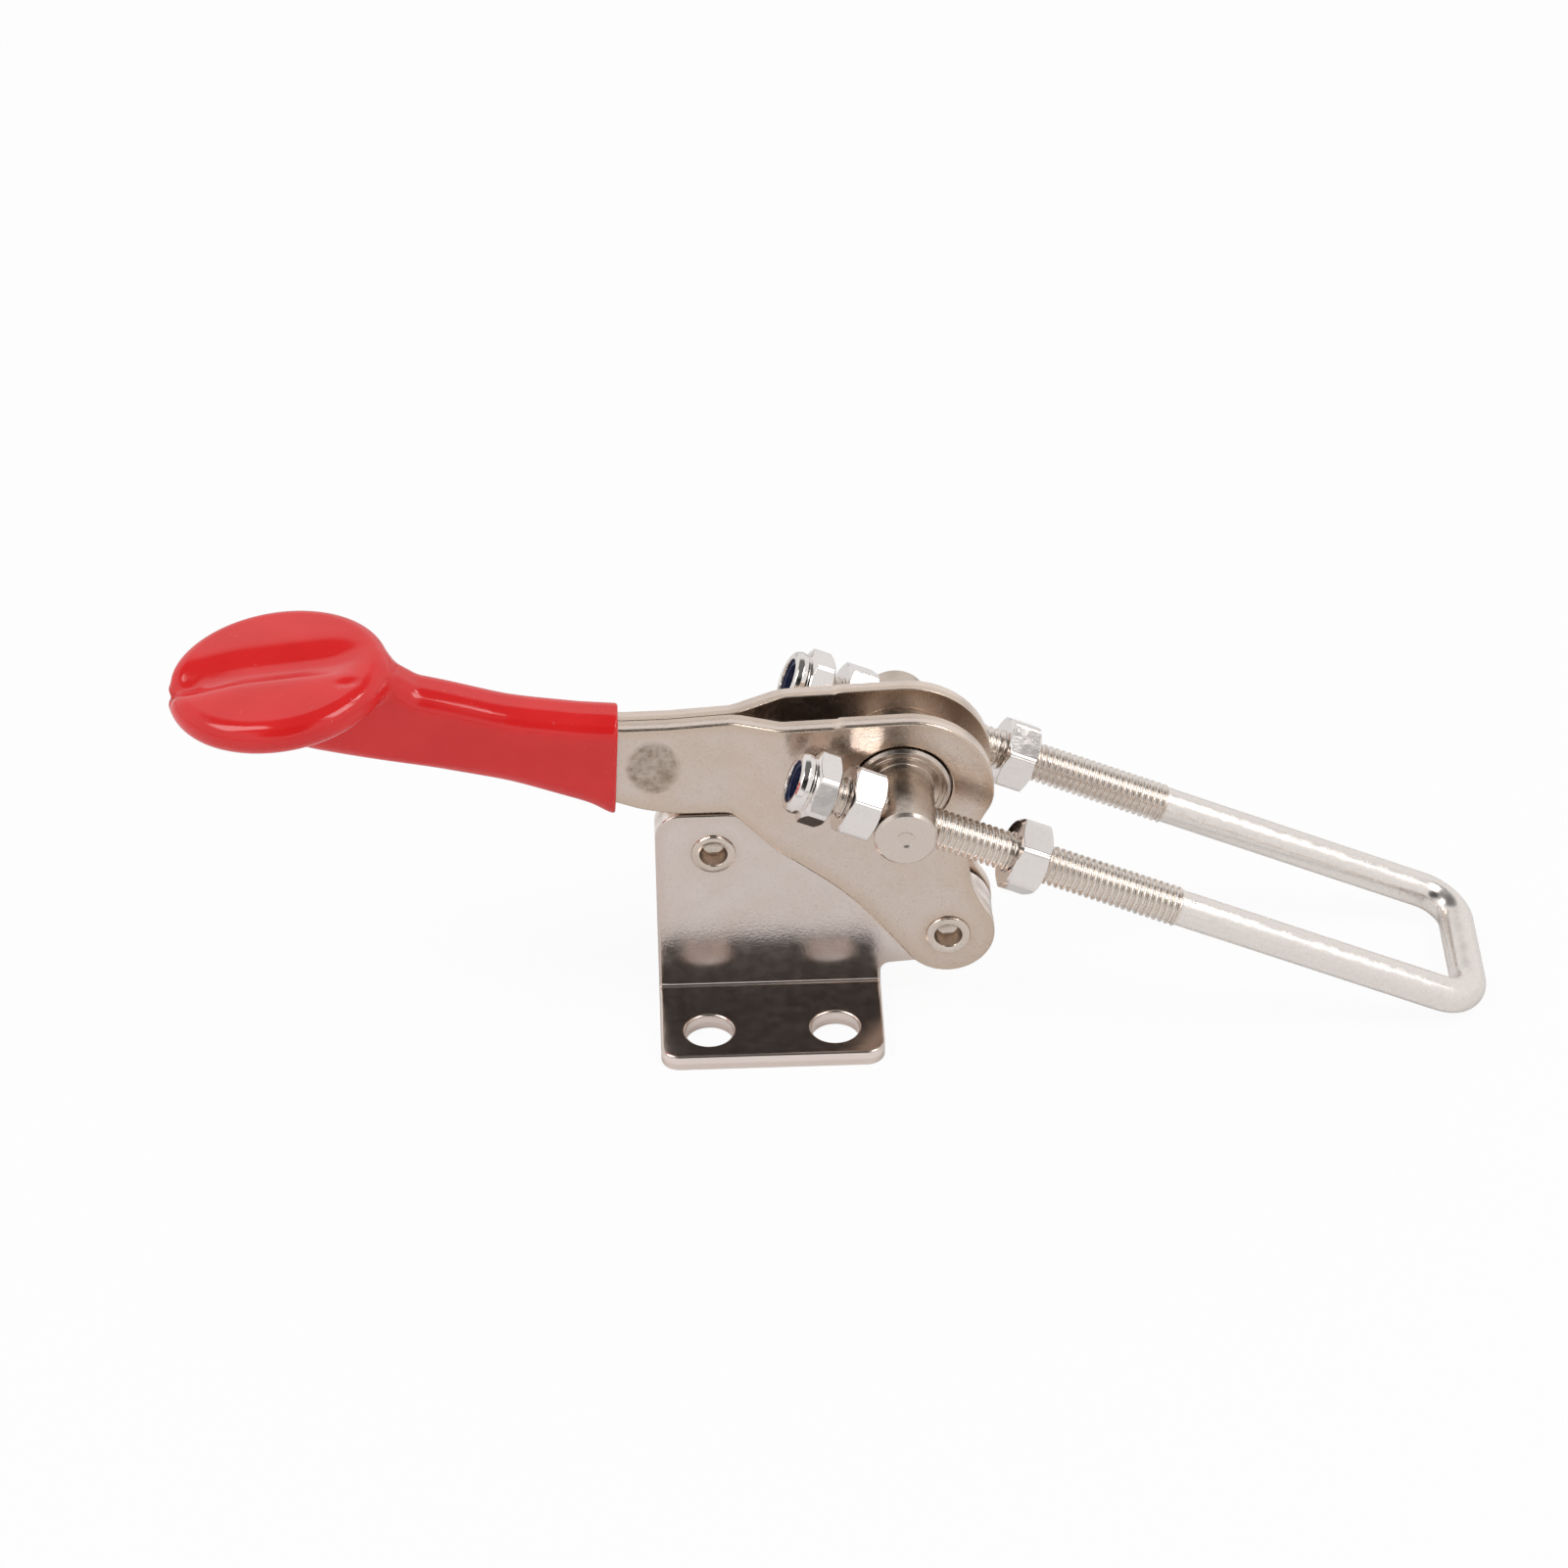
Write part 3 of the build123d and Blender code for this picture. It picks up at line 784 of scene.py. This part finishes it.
def surface_of(field, low, high, spacing):
    """Quads over the zero surface of a distance field, with its own normals."""
    axes = [np.arange(a, b + spacing, spacing) for a, b in zip(low, high)]
    grid = np.meshgrid(*axes, indexing="ij")
    value = field(*[g.ravel() for g in grid]).reshape(grid[0].shape)
    solid = value < 0
    shape = np.array(value.shape) - 1
    total = np.zeros((*shape, 3))
    hits = np.zeros(shape)
    corners = [(i, j, k) for i in (0, 1) for j in (0, 1) for k in (0, 1)]
    for a in corners:
        for axis in range(3):
            if a[axis] == 1:
                continue
            b = tuple(1 if n == axis else a[n] for n in range(3))
            cut_a = tuple(slice(a[n], a[n] + shape[n]) for n in range(3))
            cut_b = tuple(slice(b[n], b[n] + shape[n]) for n in range(3))
            va, vb = value[cut_a], value[cut_b]
            crossing = solid[cut_a] != solid[cut_b]
            share = np.where(crossing, va / np.where(crossing, va - vb, 1), 0)
            place = np.zeros((*shape, 3))
            for n in range(3):
                place[..., n] = a[n]
            place[..., axis] += share
            total += place * crossing[..., None]
            hits += crossing
    used = hits > 0
    number = np.full(shape, -1)
    number[used] = np.arange(used.sum())
    cells = np.argwhere(used)
    points = (cells + total[used] / hits[used][:, None]) * spacing + np.array(low)
    faces = []
    for axis in range(3):
        n1, n2 = (axis + 1) % 3, (axis + 2) % 3
        size = list(value.shape)
        size[axis] -= 1
        first = [slice(0, s) for s in value.shape]
        second = [slice(0, s) for s in value.shape]
        first[axis], second[axis] = slice(0, -1), slice(1, None)
        change = solid[tuple(first)] != solid[tuple(second)]
        spots = np.argwhere(change)
        ok = (spots[:, n1] > 0) & (spots[:, n2] > 0)
        ok &= (spots[:, n1] < shape[n1]) & (spots[:, n2] < shape[n2])
        spots = spots[ok]
        ring = []
        for d1, d2 in ((0, 0), (-1, 0), (-1, -1), (0, -1)):
            at = spots.copy()
            at[:, n1] += d1
            at[:, n2] += d2
            ring.append(number[tuple(at.T)])
        ring = np.stack(ring, axis=1)
        outward = solid[tuple(first)][tuple(spots.T)]
        ring[~outward] = ring[~outward][:, ::-1]
        faces.append(ring)
    faces = np.vstack(faces)
    for _ in range(4):
        lean = slope_of(field, points)
        size = np.maximum((lean**2).sum(axis=1), 0.2)
        points = points - lean * (field(*points.T) / size)[:, None] * 0.8
    lean = slope_of(field, points)
    lean /= np.linalg.norm(lean, axis=1)[:, None]
    return points, [tuple(int(i) for i in f) for f in faces], lean


# Materials

def shader(name):
    """A new material with its principled shader and the node tree's helpers."""
    material = bpy.data.materials.new(name)
    material.use_nodes = True
    tree = material.node_tree
    return material, tree, tree.nodes["Principled BSDF"]


class Wiring:
    """Short calls for the nodes that the finishes share."""

    def __init__(self, tree):
        self.tree = tree
        self.place = tree.nodes.new("ShaderNodeTexCoord").outputs["Object"]

    def noise(self, scale, detail=2.0, rough=0.5, place=None):
        node = self.tree.nodes.new("ShaderNodeTexNoise")
        node.inputs["Scale"].default_value = scale
        node.inputs["Detail"].default_value = detail
        node.inputs["Roughness"].default_value = rough
        self.tree.links.new(place or self.place, node.inputs["Vector"])
        return node.outputs["Fac"]

    def stretch(self, scale):
        node = self.tree.nodes.new("ShaderNodeMapping")
        node.inputs["Scale"].default_value = scale
        self.tree.links.new(self.place, node.inputs["Vector"])
        return node.outputs["Vector"]

    def value(self, name):
        node = self.tree.nodes.new("ShaderNodeAttribute")
        node.attribute_name = name
        return node.outputs["Fac"]

    def ramp(self, source, low, high, a, b):
        node = self.tree.nodes.new("ShaderNodeMapRange")
        node.interpolation_type = "SMOOTHSTEP"
        for key, number in (("From Min", low), ("From Max", high), ("To Min", a), ("To Max", b)):
            node.inputs[key].default_value = number
        self.tree.links.new(source, node.inputs["Value"])
        return node.outputs["Result"]

    def math(self, kind, a, b):
        node = self.tree.nodes.new("ShaderNodeMath")
        node.operation = kind
        for socket, item in zip(node.inputs, (a, b)):
            if isinstance(item, (int, float)):
                socket.default_value = item
            else:
                self.tree.links.new(item, socket)
        return node.outputs["Value"]

    def mix(self, share, a, b):
        node = self.tree.nodes.new("ShaderNodeMix")
        node.data_type = "RGBA"
        for socket, item in ((node.inputs[0], share), (node.inputs[6], a), (node.inputs[7], b)):
            if isinstance(item, (int, float)):
                socket.default_value = item
            elif isinstance(item, tuple):
                socket.default_value = (*item, 1.0)
            else:
                self.tree.links.new(item, socket)
        return node.outputs[2]

    def bump(self, height, strength, distance, before=None):
        node = self.tree.nodes.new("ShaderNodeBump")
        node.inputs["Strength"].default_value = strength
        node.inputs["Distance"].default_value = distance
        self.tree.links.new(height, node.inputs["Height"])
        if before is not None:
            self.tree.links.new(before, node.inputs["Normal"])
        return node.outputs["Normal"]

    def link(self, source, socket):
        self.tree.links.new(source, socket)


def punched_edge(wire, colour, warm, tone, normal):
    """The cut wall of a punched sheet: sheared bright towards the front, torn towards the back."""
    wall = wire.value("wall")
    cut = wire.noise(900, 3, 0.6, wire.stretch((1.0, 0.12, 1.0)))
    torn = wire.ramp(wire.value("depth"), -0.35, 0.15, 1.0, 0.0)
    bright = wire.mix(wire.math("MULTIPLY", torn, 0.55), tuple(min(1, c * 1.25) for c in colour), warm)
    tone = wire.mix(wire.ramp(wall, 0.55, 0.95, 0.0, 0.85), tone, bright)
    rugged = wire.math("MULTIPLY", wall, wire.math("MULTIPLY", cut, torn))
    return tone, wire.bump(rugged, 0.28, 0.00014, normal)


def scorched_spot(wire, weld, tone, normal, gloss):
    """The browned mark of the projection weld between the lever plates."""
    centre, radius = weld
    spot = wire.tree.nodes.new("ShaderNodeVectorMath")
    spot.operation = "DISTANCE"
    flat = wire.tree.nodes.new("ShaderNodeVectorMath")
    flat.operation = "MULTIPLY"
    squash = 0.86
    flat.inputs[1].default_value = (1.0, 0.0, squash)
    wire.link(wire.place, flat.inputs[0])
    wire.link(flat.outputs[0], spot.inputs[0])
    spot.inputs[1].default_value = (centre[0] * MM, 0.0, squash * centre[1] * MM)
    wobble = wire.math("MULTIPLY", wire.noise(420, 3, 0.6), 1.1 * MM)
    away = wire.math("ADD", spot.outputs["Value"], wobble)
    ring_out = wire.ramp(away, (radius - 0.2) * MM, (radius + 1.1) * MM, 1.0, 0.0)
    ring_in = wire.ramp(away, (radius - 2.1) * MM, (radius - 0.6) * MM, 0.85, 1.0)
    ring = wire.math("MULTIPLY", ring_out, ring_in)
    smoke = wire.ramp(wire.noise(600, 4, 0.65), 0.35, 0.65, 0.35, 0.85)
    burnt = wire.math("MULTIPLY", ring, smoke)
    tone = wire.mix(burnt, tone, (0.25, 0.185, 0.13))
    normal = wire.bump(ring, 0.6, 0.00025, normal)
    gloss = wire.math("ADD", gloss, wire.math("MULTIPLY", ring, 0.08))
    return tone, normal, gloss


def satin_nickel(name, colour, warm, rough, plate=False, weld=None, smooth_below=None):
    """Nickel plate over pickled sheet: fine speckle, soft blotches, warmer towards cut edges.
    weld is the place and radius of a scorched spot. smooth_below is the span of heights, in
    millimetres, over which the grain fades downwards.
    """
    material, tree, surface = shader(name)
    wire = Wiring(tree)
    surface.inputs["Metallic"].default_value = 1.0
    blotch = wire.ramp(wire.noise(130, 3, 0.6), 0.35, 0.70, 0.0, 1.0)
    tint = wire.math("MULTIPLY", blotch, 0.45)
    if plate:
        edge = wire.ramp(wire.value("rim"), 0.0, 3.2, 0.75, 0.0)
        tint = wire.math("MAXIMUM", tint, edge)
    tone = wire.mix(tint, colour, warm)
    specks = wire.ramp(wire.noise(2600, 2, 0.7), 0.56, 0.74, 0.0, 0.35)
    tone = wire.mix(specks, tone, tuple(c * 0.62 for c in warm))
    coarse = wire.noise(2300, 3, 0.65)
    if smooth_below is not None:
        height = wire.tree.nodes.new("ShaderNodeSeparateXYZ")
        wire.link(wire.place, height.inputs[0])
        grown = wire.ramp(height.outputs["Z"], smooth_below[0] * MM, smooth_below[1] * MM, 0.22, 1.0)
        coarse = wire.math("MULTIPLY", coarse, grown)
    normal = wire.bump(coarse, 0.45, 0.00006)
    gloss = wire.ramp(wire.noise(420, 4, 0.6), 0.3, 0.7, rough * 0.86, rough * 1.16)
    if plate:
        tone, normal = punched_edge(wire, colour, warm, tone, normal)
    if weld is not None:
        tone, normal, gloss = scorched_spot(wire, weld, tone, normal, gloss)
    wire.link(tone, surface.inputs["Base Color"])
    wire.link(gloss, surface.inputs["Roughness"])
    wire.link(normal, surface.inputs["Normal"])
    return material


def bright_nickel(name, colour, rough, grain, scale=1800, stretch=(1.0, 1.0, 1.0), end=None):
    """Polished or turned nickel plate with faint marks. end is the colour of a pin's faced end."""
    material, tree, surface = shader(name)
    wire = Wiring(tree)
    surface.inputs["Metallic"].default_value = 1.0
    marks = wire.noise(scale, 3, 0.6, wire.stretch(stretch))
    tone = wire.mix(wire.ramp(marks, 0.4, 0.75, 0.0, 0.3), colour, tuple(c * 0.82 for c in colour))
    if end is not None:
        apart = wire.tree.nodes.new("ShaderNodeSeparateXYZ")
        wire.link(wire.place, apart.inputs[0])
        outer = wire.math("ABSOLUTE", apart.outputs["Y"], 0.0)
        tone = wire.mix(wire.ramp(outer, (ARM_END - 0.5) * MM, (ARM_END - 0.1) * MM, 0.0, 1.0), tone, end)
    wire.link(tone, surface.inputs["Base Color"])
    wire.link(wire.ramp(wire.noise(600, 3), 0.3, 0.7, rough * 0.8, rough * 1.25), surface.inputs["Roughness"])
    wire.link(wire.bump(marks, grain, 0.00003), surface.inputs["Normal"])
    return material


def dipped_vinyl():
    """Glossy red plastisol: even colour, a faint ripple and a few dust specks."""
    material, tree, surface = shader("red_vinyl")
    wire = Wiring(tree)
    ripple = wire.noise(110, 2, 0.5)
    specks = wire.ramp(wire.noise(1500, 1, 0.4), 0.735, 0.78, 0.0, 0.30)
    tone = wire.mix(wire.ramp(ripple, 0.3, 0.7, 0.0, 1.0), (0.69, 0.015, 0.016), (0.74, 0.020, 0.021))
    tone = wire.mix(specks, tone, (0.75, 0.16, 0.16))
    wire.link(tone, surface.inputs["Base Color"])
    wire.link(wire.ramp(wire.noise(300, 3), 0.3, 0.7, 0.10, 0.15), surface.inputs["Roughness"])
    surface.inputs["IOR"].default_value = 1.5
    surface.inputs["Subsurface Weight"].default_value = 0.08
    surface.inputs["Subsurface Radius"].default_value = (0.002, 0.0006, 0.0005)
    surface.inputs["Subsurface Scale"].default_value = 1.0
    wire.link(wire.bump(ripple, 0.10, 0.0003), surface.inputs["Normal"])
    return material


def navy_nylon():
    """Moulded nylon of the lock nuts' rings."""
    material, tree, surface = shader("navy_nylon")
    wire = Wiring(tree)
    cloud = wire.noise(1200, 2, 0.5)
    wire.link(wire.mix(cloud, (0.008, 0.012, 0.05), (0.014, 0.022, 0.085)), surface.inputs["Base Color"])
    wire.link(wire.ramp(cloud, 0.3, 0.7, 0.32, 0.45), surface.inputs["Roughness"])
    return material


plate_finish = satin_nickel(
    "satin_nickel_plate",
    (0.70, 0.60, 0.54),
    (0.63, 0.50, 0.39),
    0.26,
    plate=True,
    weld=(WELD_SPOT, WELD_RADIUS),
)
base_finish = satin_nickel(
    "satin_nickel_base", (0.76, 0.68, 0.645), (0.67, 0.57, 0.50), 0.18, plate=True, smooth_below=(6.0, 13.0)
)
rivet_finish = satin_nickel("rivet_nickel", (0.74, 0.65, 0.58), (0.55, 0.44, 0.35), 0.22)
pin_finish = bright_nickel(
    "turned_pin_nickel", (0.63, 0.54, 0.47), 0.24, 0.25, 700, (1.0, 5.0, 1.0), (0.70, 0.61, 0.55)
)
rod_finish = bright_nickel("hook_rod_nickel", (0.86, 0.80, 0.755), 0.25, 0.10)
thread_finish = bright_nickel("rolled_thread_nickel", (0.82, 0.75, 0.69), 0.24, 0.20)
nut_finish = bright_nickel("polished_nut_nickel", (0.84, 0.79, 0.76), 0.09, 0.12)
vinyl_finish = dipped_vinyl()
nylon_finish = navy_nylon()


# Pieces

def add_pair(stem, near, body, slot, material, facts=None):
    """Near and far copies of a piece, each standing for its CAD node."""
    points, faces, normals = near
    for word, shape in (("near", (points, faces, normals)), ("far", mirrored(points, faces, normals))):
        piece = make_piece(f"{stem}_{word}_look", *shape, attributes=facts)
        dress(piece, body, slot, material, f"{stem}_{word}")


lever_loop = lever_outline()
grid = np.vstack([
    inner_grid(-84, 36, 4, 62, 1.6),
    np.array([(x, z) for x in np.arange(-6.4, 4.2, 0.45) for z in np.arange(22.0, 54.0, 1.1)]),
])
points, faces, normals, facts = stamped(
    lever_loop,
    [circle(PIVOT, RIVET_HOLE), circle(CROSS, CROSS_HOLE, 96)],
    PUNCHED_ROUND,
    BURR_ROUND,
    lever_bend,
    grid,
)
add_pair("lever_plate", (points, faces, normals), "lever", "plate", plate_finish, facts)

fold_rows = [(x, v) for x in np.arange(-16.2, 17, 1.3) for v in np.arange(-FOLD_LENGTH, 0.3, 0.27)]
holes = [
    circle((-HOLE_X, FOLD_CENTRE - FOLD_LENGTH - HOLE_Y), HOLE_RADIUS),
    circle((HOLE_X, FOLD_CENTRE - FOLD_LENGTH - HOLE_Y), HOLE_RADIUS),
    circle((JOINT_RIVET[0], JOINT_RIVET[1] - FOLD_CENTRE), RIVET_HOLE),
    circle((PIVOT[0], PIVOT[1] - FOLD_CENTRE), RIVET_HOLE),
]
grid = np.vstack([inner_grid(-16, 34, -21, 30, 1.8), np.array(fold_rows)])
points, faces, normals, facts = stamped(
    bracket_outline(), holes, PUNCHED_ROUND, BURR_ROUND, bracket_bend, grid
)
# The upright's front shading normals tilt up a little above its fold, as if its foot leant out, which draws
# the flange's reflection down; the mesh itself stays straight
lean = math.radians(4.6) * (1 - step_between(points[:, 2], 13.0, 24.0)) * step_between(points[:, 2], 3.0, 6.5)
front = (facts["depth"] > 0.99) & (points[:, 1] > -FOLD_CENTRE)
normals[front, 2] += np.tan(lean[front])
normals /= np.linalg.norm(normals, axis=1)[:, None]
add_pair("bracket", (points, faces, normals), "base", "plate", base_finish, facts)


def rivet_look(name, at, face, body):
    """A semi-tubular rivet: rolled rim and bore on the near side, domed head on the far side."""
    head, head_rise = 4.2, 1.3
    profile = [
        (-face + 3.2, 0.0, 0),
        (-face + 2.5, 1.85, 0.3),
        (-face - 0.30, 2.05, 0.25),
        (-face - 0.50, 2.60, 0.35),
        (-face - 0.42, 3.20, 0.25),
        (-face, 3.45, 0.12),
        (-face, 2.72, 0.02),
        (face, 2.72, 0.02),
        (face, head, 0.1),
        (face + 0.45 * head_rise, head * 0.86, 1.5),
        (face + head_rise, head * 0.30, 3.0),
        (face + head_rise, 0.0, 0),
    ]
    points, faces = turned(profile, (at[0], 0, at[1]), (0, 1, 0), 96)
    piece = make_piece(f"{name}_look", points, faces, area_normals(points, faces))
    dress(piece, body, "rivet", rivet_finish, name)


rivet_look("joint_rivet", JOINT_RIVET, SHEET, "base")
rivet_look("pivot_rivet", PIVOT, LEVER_OUTER + 0.05, "base")

PIN_FACE = LEVER_OUTER + 0.5
pin_profile = [
    (0.15, 0.0, 0),
    (0.15, PIN_COLLAR, 0.15),
    (LEVER_GAP_HALF - 0.05, PIN_COLLAR, 0.15),
    (LEVER_GAP_HALF - 0.05, PIN_JOURNAL, 0.02),
    (PIN_FACE - 0.4, PIN_JOURNAL, 0.02),
    (PIN_FACE, 6.75, 0.12),
    (PIN_FACE, 6.45, 0.06),
    (PIN_FACE - 0.22, 6.32, 0.05),
    (PIN_FACE - 0.22, 6.12, 0.05),
    (PIN_FACE, 6.0, 0.06),
    (PIN_FACE, 5.75, 0.10),
    (PIN_FACE - 0.17, 5.55, 0.08),
    (PIN_FACE - 0.17, PIN_ARM, 0.15),
    (ARM_END - 0.45, PIN_ARM, 0.10),
    (ARM_END, 4.25, 0.08),
    (ARM_END, 1.45, 0.05),
    (ARM_END - 0.22, 1.1, 0.1),
    (ARM_END - 0.22, 0.0, 0),
]
points, faces = turned(pin_profile, (CROSS[0], 0, CROSS[1]), (0, -1, 0), 128)
add_pair("cross_pin", (points, faces, area_normals(points, faces)), "cross_pin", "pin", pin_finish)

rod_piece = make_piece("u_hook_rod_look", *hook_rod())
dress(rod_piece, "hook", "hook", rod_finish, "u_hook")
for side, word in ((-1, "near"), (1, "far")):
    thread = thread_on(side, thread_finish, TAIL_END + 0.5, THREAD_END + 0.5)
    dress(thread, "hook", "hook", thread_finish)

# Each nut stopped at its own angle, in degrees, near and far
for stem, start, length, turns, collar in (
    ("back_nut", BACK_NUT_START, NUT_LENGTH, (25.5, 25.5), None),
    ("front_nut", FRONT_NUT_START, NUT_LENGTH, (14.8, 30.9), None),
    ("lock_nut", LOCK_NUT_START, LOCK_NUT_LENGTH, (10.0, 10.0), LOCK_COLLAR),
):
    for side, word, turn in ((-1, "near", turns[0]), (1, "far", turns[1])):
        points, faces = nut(start, length, turn, side, collar)
        piece = make_piece(f"{stem}_{word}_look", points, faces, area_normals(points, faces))
        dress(piece, f"{stem}_{word}", "nut", nut_finish, f"{stem}_{word}")

ring_profile = [(0.62, 2.55, 0.12), (0.62, 3.58, 0.05), (1.58, 3.58, 0.05), (1.58, 2.35, 0.1)]
for side, word in ((-1, "near"), (1, "far")):
    points, faces = turned(ring_profile, rod_point(LOCK_NUT_START, side), ROD_AXIS, 72, ROD_NORMAL)
    piece = make_piece(f"nylon_ring_{word}_look", points, faces, area_normals(points, faces))
    dress(piece, f"lock_nut_{word}", "nylon", nylon_finish, f"nylon_ring_{word}")

side_field = SideField(lever_loop, -92.0, -14.0, 28.0, 70.0, 0.25)
GRIP_LOW, GRIP_HIGH, GRIP_CELL = (-88.6, -16.6, 32.0), (-21.0, 16.6, 66.0), 0.42
points, faces, normals = surface_of(
    lambda x, y, z: grip_distance(side_field, x, y, z), GRIP_LOW, GRIP_HIGH, GRIP_CELL
)
grip_piece = make_piece("grip_look", points, faces, normals)
dress(grip_piece, "lever", "grip", vinyl_finish, "grip")

for word in ("near", "far"):
    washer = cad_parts[f"pivot_washer_{word}"]
    washer.data.materials.clear()
    washer.data.materials.append(rivet_finish)

for name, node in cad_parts.items():
    if not node.hide_render and not node.data.materials:
        node.data.materials.append(plate_finish)


# Camera

AZIMUTH, ELEVATION, ROLL = math.radians(-1.454), math.radians(36.927), math.radians(-0.816)
TARGET = np.array([2.618, 0.0, 38.255])
DISTANCE = 864.6
FOCAL_PIXELS, PHOTO_PIXELS, SENSOR = 5959.8, 1601, 36.0

forward = np.array([
    math.sin(-AZIMUTH) * math.cos(ELEVATION),
    math.cos(AZIMUTH) * math.cos(ELEVATION),
    -math.sin(ELEVATION),
])
right = np.array([math.cos(AZIMUTH), math.sin(AZIMUTH), 0.0])
up = np.cross(right, forward)
camera_right = math.cos(ROLL) * right + math.sin(ROLL) * up
camera_up = -math.sin(ROLL) * right + math.cos(ROLL) * up
eye = (TARGET - forward * DISTANCE) * MM
camera_data = bpy.data.cameras.new("camera")
camera_data.sensor_width = SENSOR
camera_data.lens = SENSOR * FOCAL_PIXELS / PHOTO_PIXELS
camera_data.clip_start = 0.05
camera = bpy.data.objects.new("camera", camera_data)
camera_axes = [camera_right, camera_up, -forward]
camera_rows = [[*(float(axis[row]) for axis in camera_axes), float(eye[row])] for row in range(3)]
camera.matrix_world = Matrix(camera_rows + [[0, 0, 0, 1]])
bpy.context.scene.collection.objects.link(camera)
bpy.context.scene.camera = camera


# Table, lamps and room

def table_material():
    """White table that keeps a soft shadow and shows white to the camera and in the metal."""
    material, tree, surface = shader("table")
    surface.inputs["Base Color"].default_value = (0.86, 0.86, 0.86, 1.0)
    surface.inputs["Roughness"].default_value = 0.9
    surface.inputs["Specular IOR Level"].default_value = 0.0
    path = tree.nodes.new("ShaderNodeLightPath")
    glow = tree.nodes.new("ShaderNodeEmission")
    glow.inputs["Color"].default_value = (1.0, 1.0, 1.0, 1.0)
    glow.inputs["Strength"].default_value = 1.0
    blend = tree.nodes.new("ShaderNodeMixShader")
    share = tree.nodes.new("ShaderNodeMath")
    share.operation = "MULTIPLY"
    share.inputs[1].default_value = 0.93
    tree.links.new(path.outputs["Is Camera Ray"], share.inputs[0])
    tree.links.new(share.outputs[0], blend.inputs["Fac"])
    tree.links.new(surface.outputs[0], blend.inputs[1])
    tree.links.new(glow.outputs[0], blend.inputs[2])
    tree.links.new(blend.outputs[0], tree.nodes["Material Output"].inputs["Surface"])
    return material


TABLE_REACH = 6.0
TABLE_DROP = 0.00002
table_corners = [(x * TABLE_REACH, y * TABLE_REACH, 0) for x, y in ((-1, -1), (1, -1), (1, 1), (-1, 1))]
table_mesh = bpy.data.meshes.new("table")
table_mesh.from_pydata(table_corners, [], [(0, 1, 2, 3)])
table = bpy.data.objects.new("table", table_mesh)
table.location.z = -TABLE_DROP
table_mesh.materials.append(table_material())
bpy.context.scene.collection.objects.link(table)


CLAMP_MIDDLE = (0.0, 0.0, 0.03)


def soft_box(name, place, width, height, power):
    """A rectangular lamp that faces the clamp."""
    data = bpy.data.lights.new(name, "AREA")
    data.shape = "RECTANGLE"
    data.size, data.size_y, data.energy = width, height, power
    lamp = bpy.data.objects.new(name, data)
    lamp.location = place
    lamp.rotation_euler = (Vector(CLAMP_MIDDLE) - Vector(place)).to_track_quat("-Z", "Y").to_euler()
    bpy.context.scene.collection.objects.link(lamp)


soft_box("left_box", (-0.55, -0.12, 0.75), 0.32, 0.60, 2.7)
soft_box("right_box", (0.50, -0.25, 0.76), 0.40, 0.36, 2.2)
soft_box("right_back_box", (0.56, 0.085, 0.745), 0.16, 0.16, 0.55)

world = bpy.data.worlds.new("studio")
bpy.context.scene.world = world
world.use_nodes = True
tree = world.node_tree
place = tree.nodes.new("ShaderNodeTexCoord")
# A white sweep up to about 40 degrees, a dim ceiling over it, and the dark camera stand
split = tree.nodes.new("ShaderNodeSeparateXYZ")
tree.links.new(place.outputs["Generated"], split.inputs[0])
toward = tree.nodes.new("ShaderNodeVectorMath")
toward.operation = "DOT_PRODUCT"
toward.inputs[1].default_value = [float(-c) for c in forward]
tree.links.new(place.outputs["Generated"], toward.inputs[0])
room = tree.nodes.new("ShaderNodeMath")
room.operation = "MULTIPLY"
SWEEP_LIGHT, CEILING_LIGHT, STAND_LIGHT = 0.88, 0.17, 0.05
for slot_number, (source, low, high, a, b) in enumerate((
    (split.outputs["Z"], 0.62, 0.80, SWEEP_LIGHT, CEILING_LIGHT),
    (toward.outputs["Value"], 0.88, 0.965, 1.0, STAND_LIGHT),
)):
    shade = tree.nodes.new("ShaderNodeMapRange")
    shade.interpolation_type = "SMOOTHSTEP"
    for key, number in (("From Min", low), ("From Max", high), ("To Min", a), ("To Max", b)):
        shade.inputs[key].default_value = number
    tree.links.new(source, shade.inputs["Value"])
    tree.links.new(shade.outputs["Result"], room.inputs[slot_number])
tree.links.new(room.outputs["Value"], tree.nodes["Background"].inputs["Strength"])
tree.nodes["Background"].inputs["Color"].default_value = (1.0, 1.0, 1.0, 1.0)

bpy.context.scene.view_settings.view_transform = "Standard"
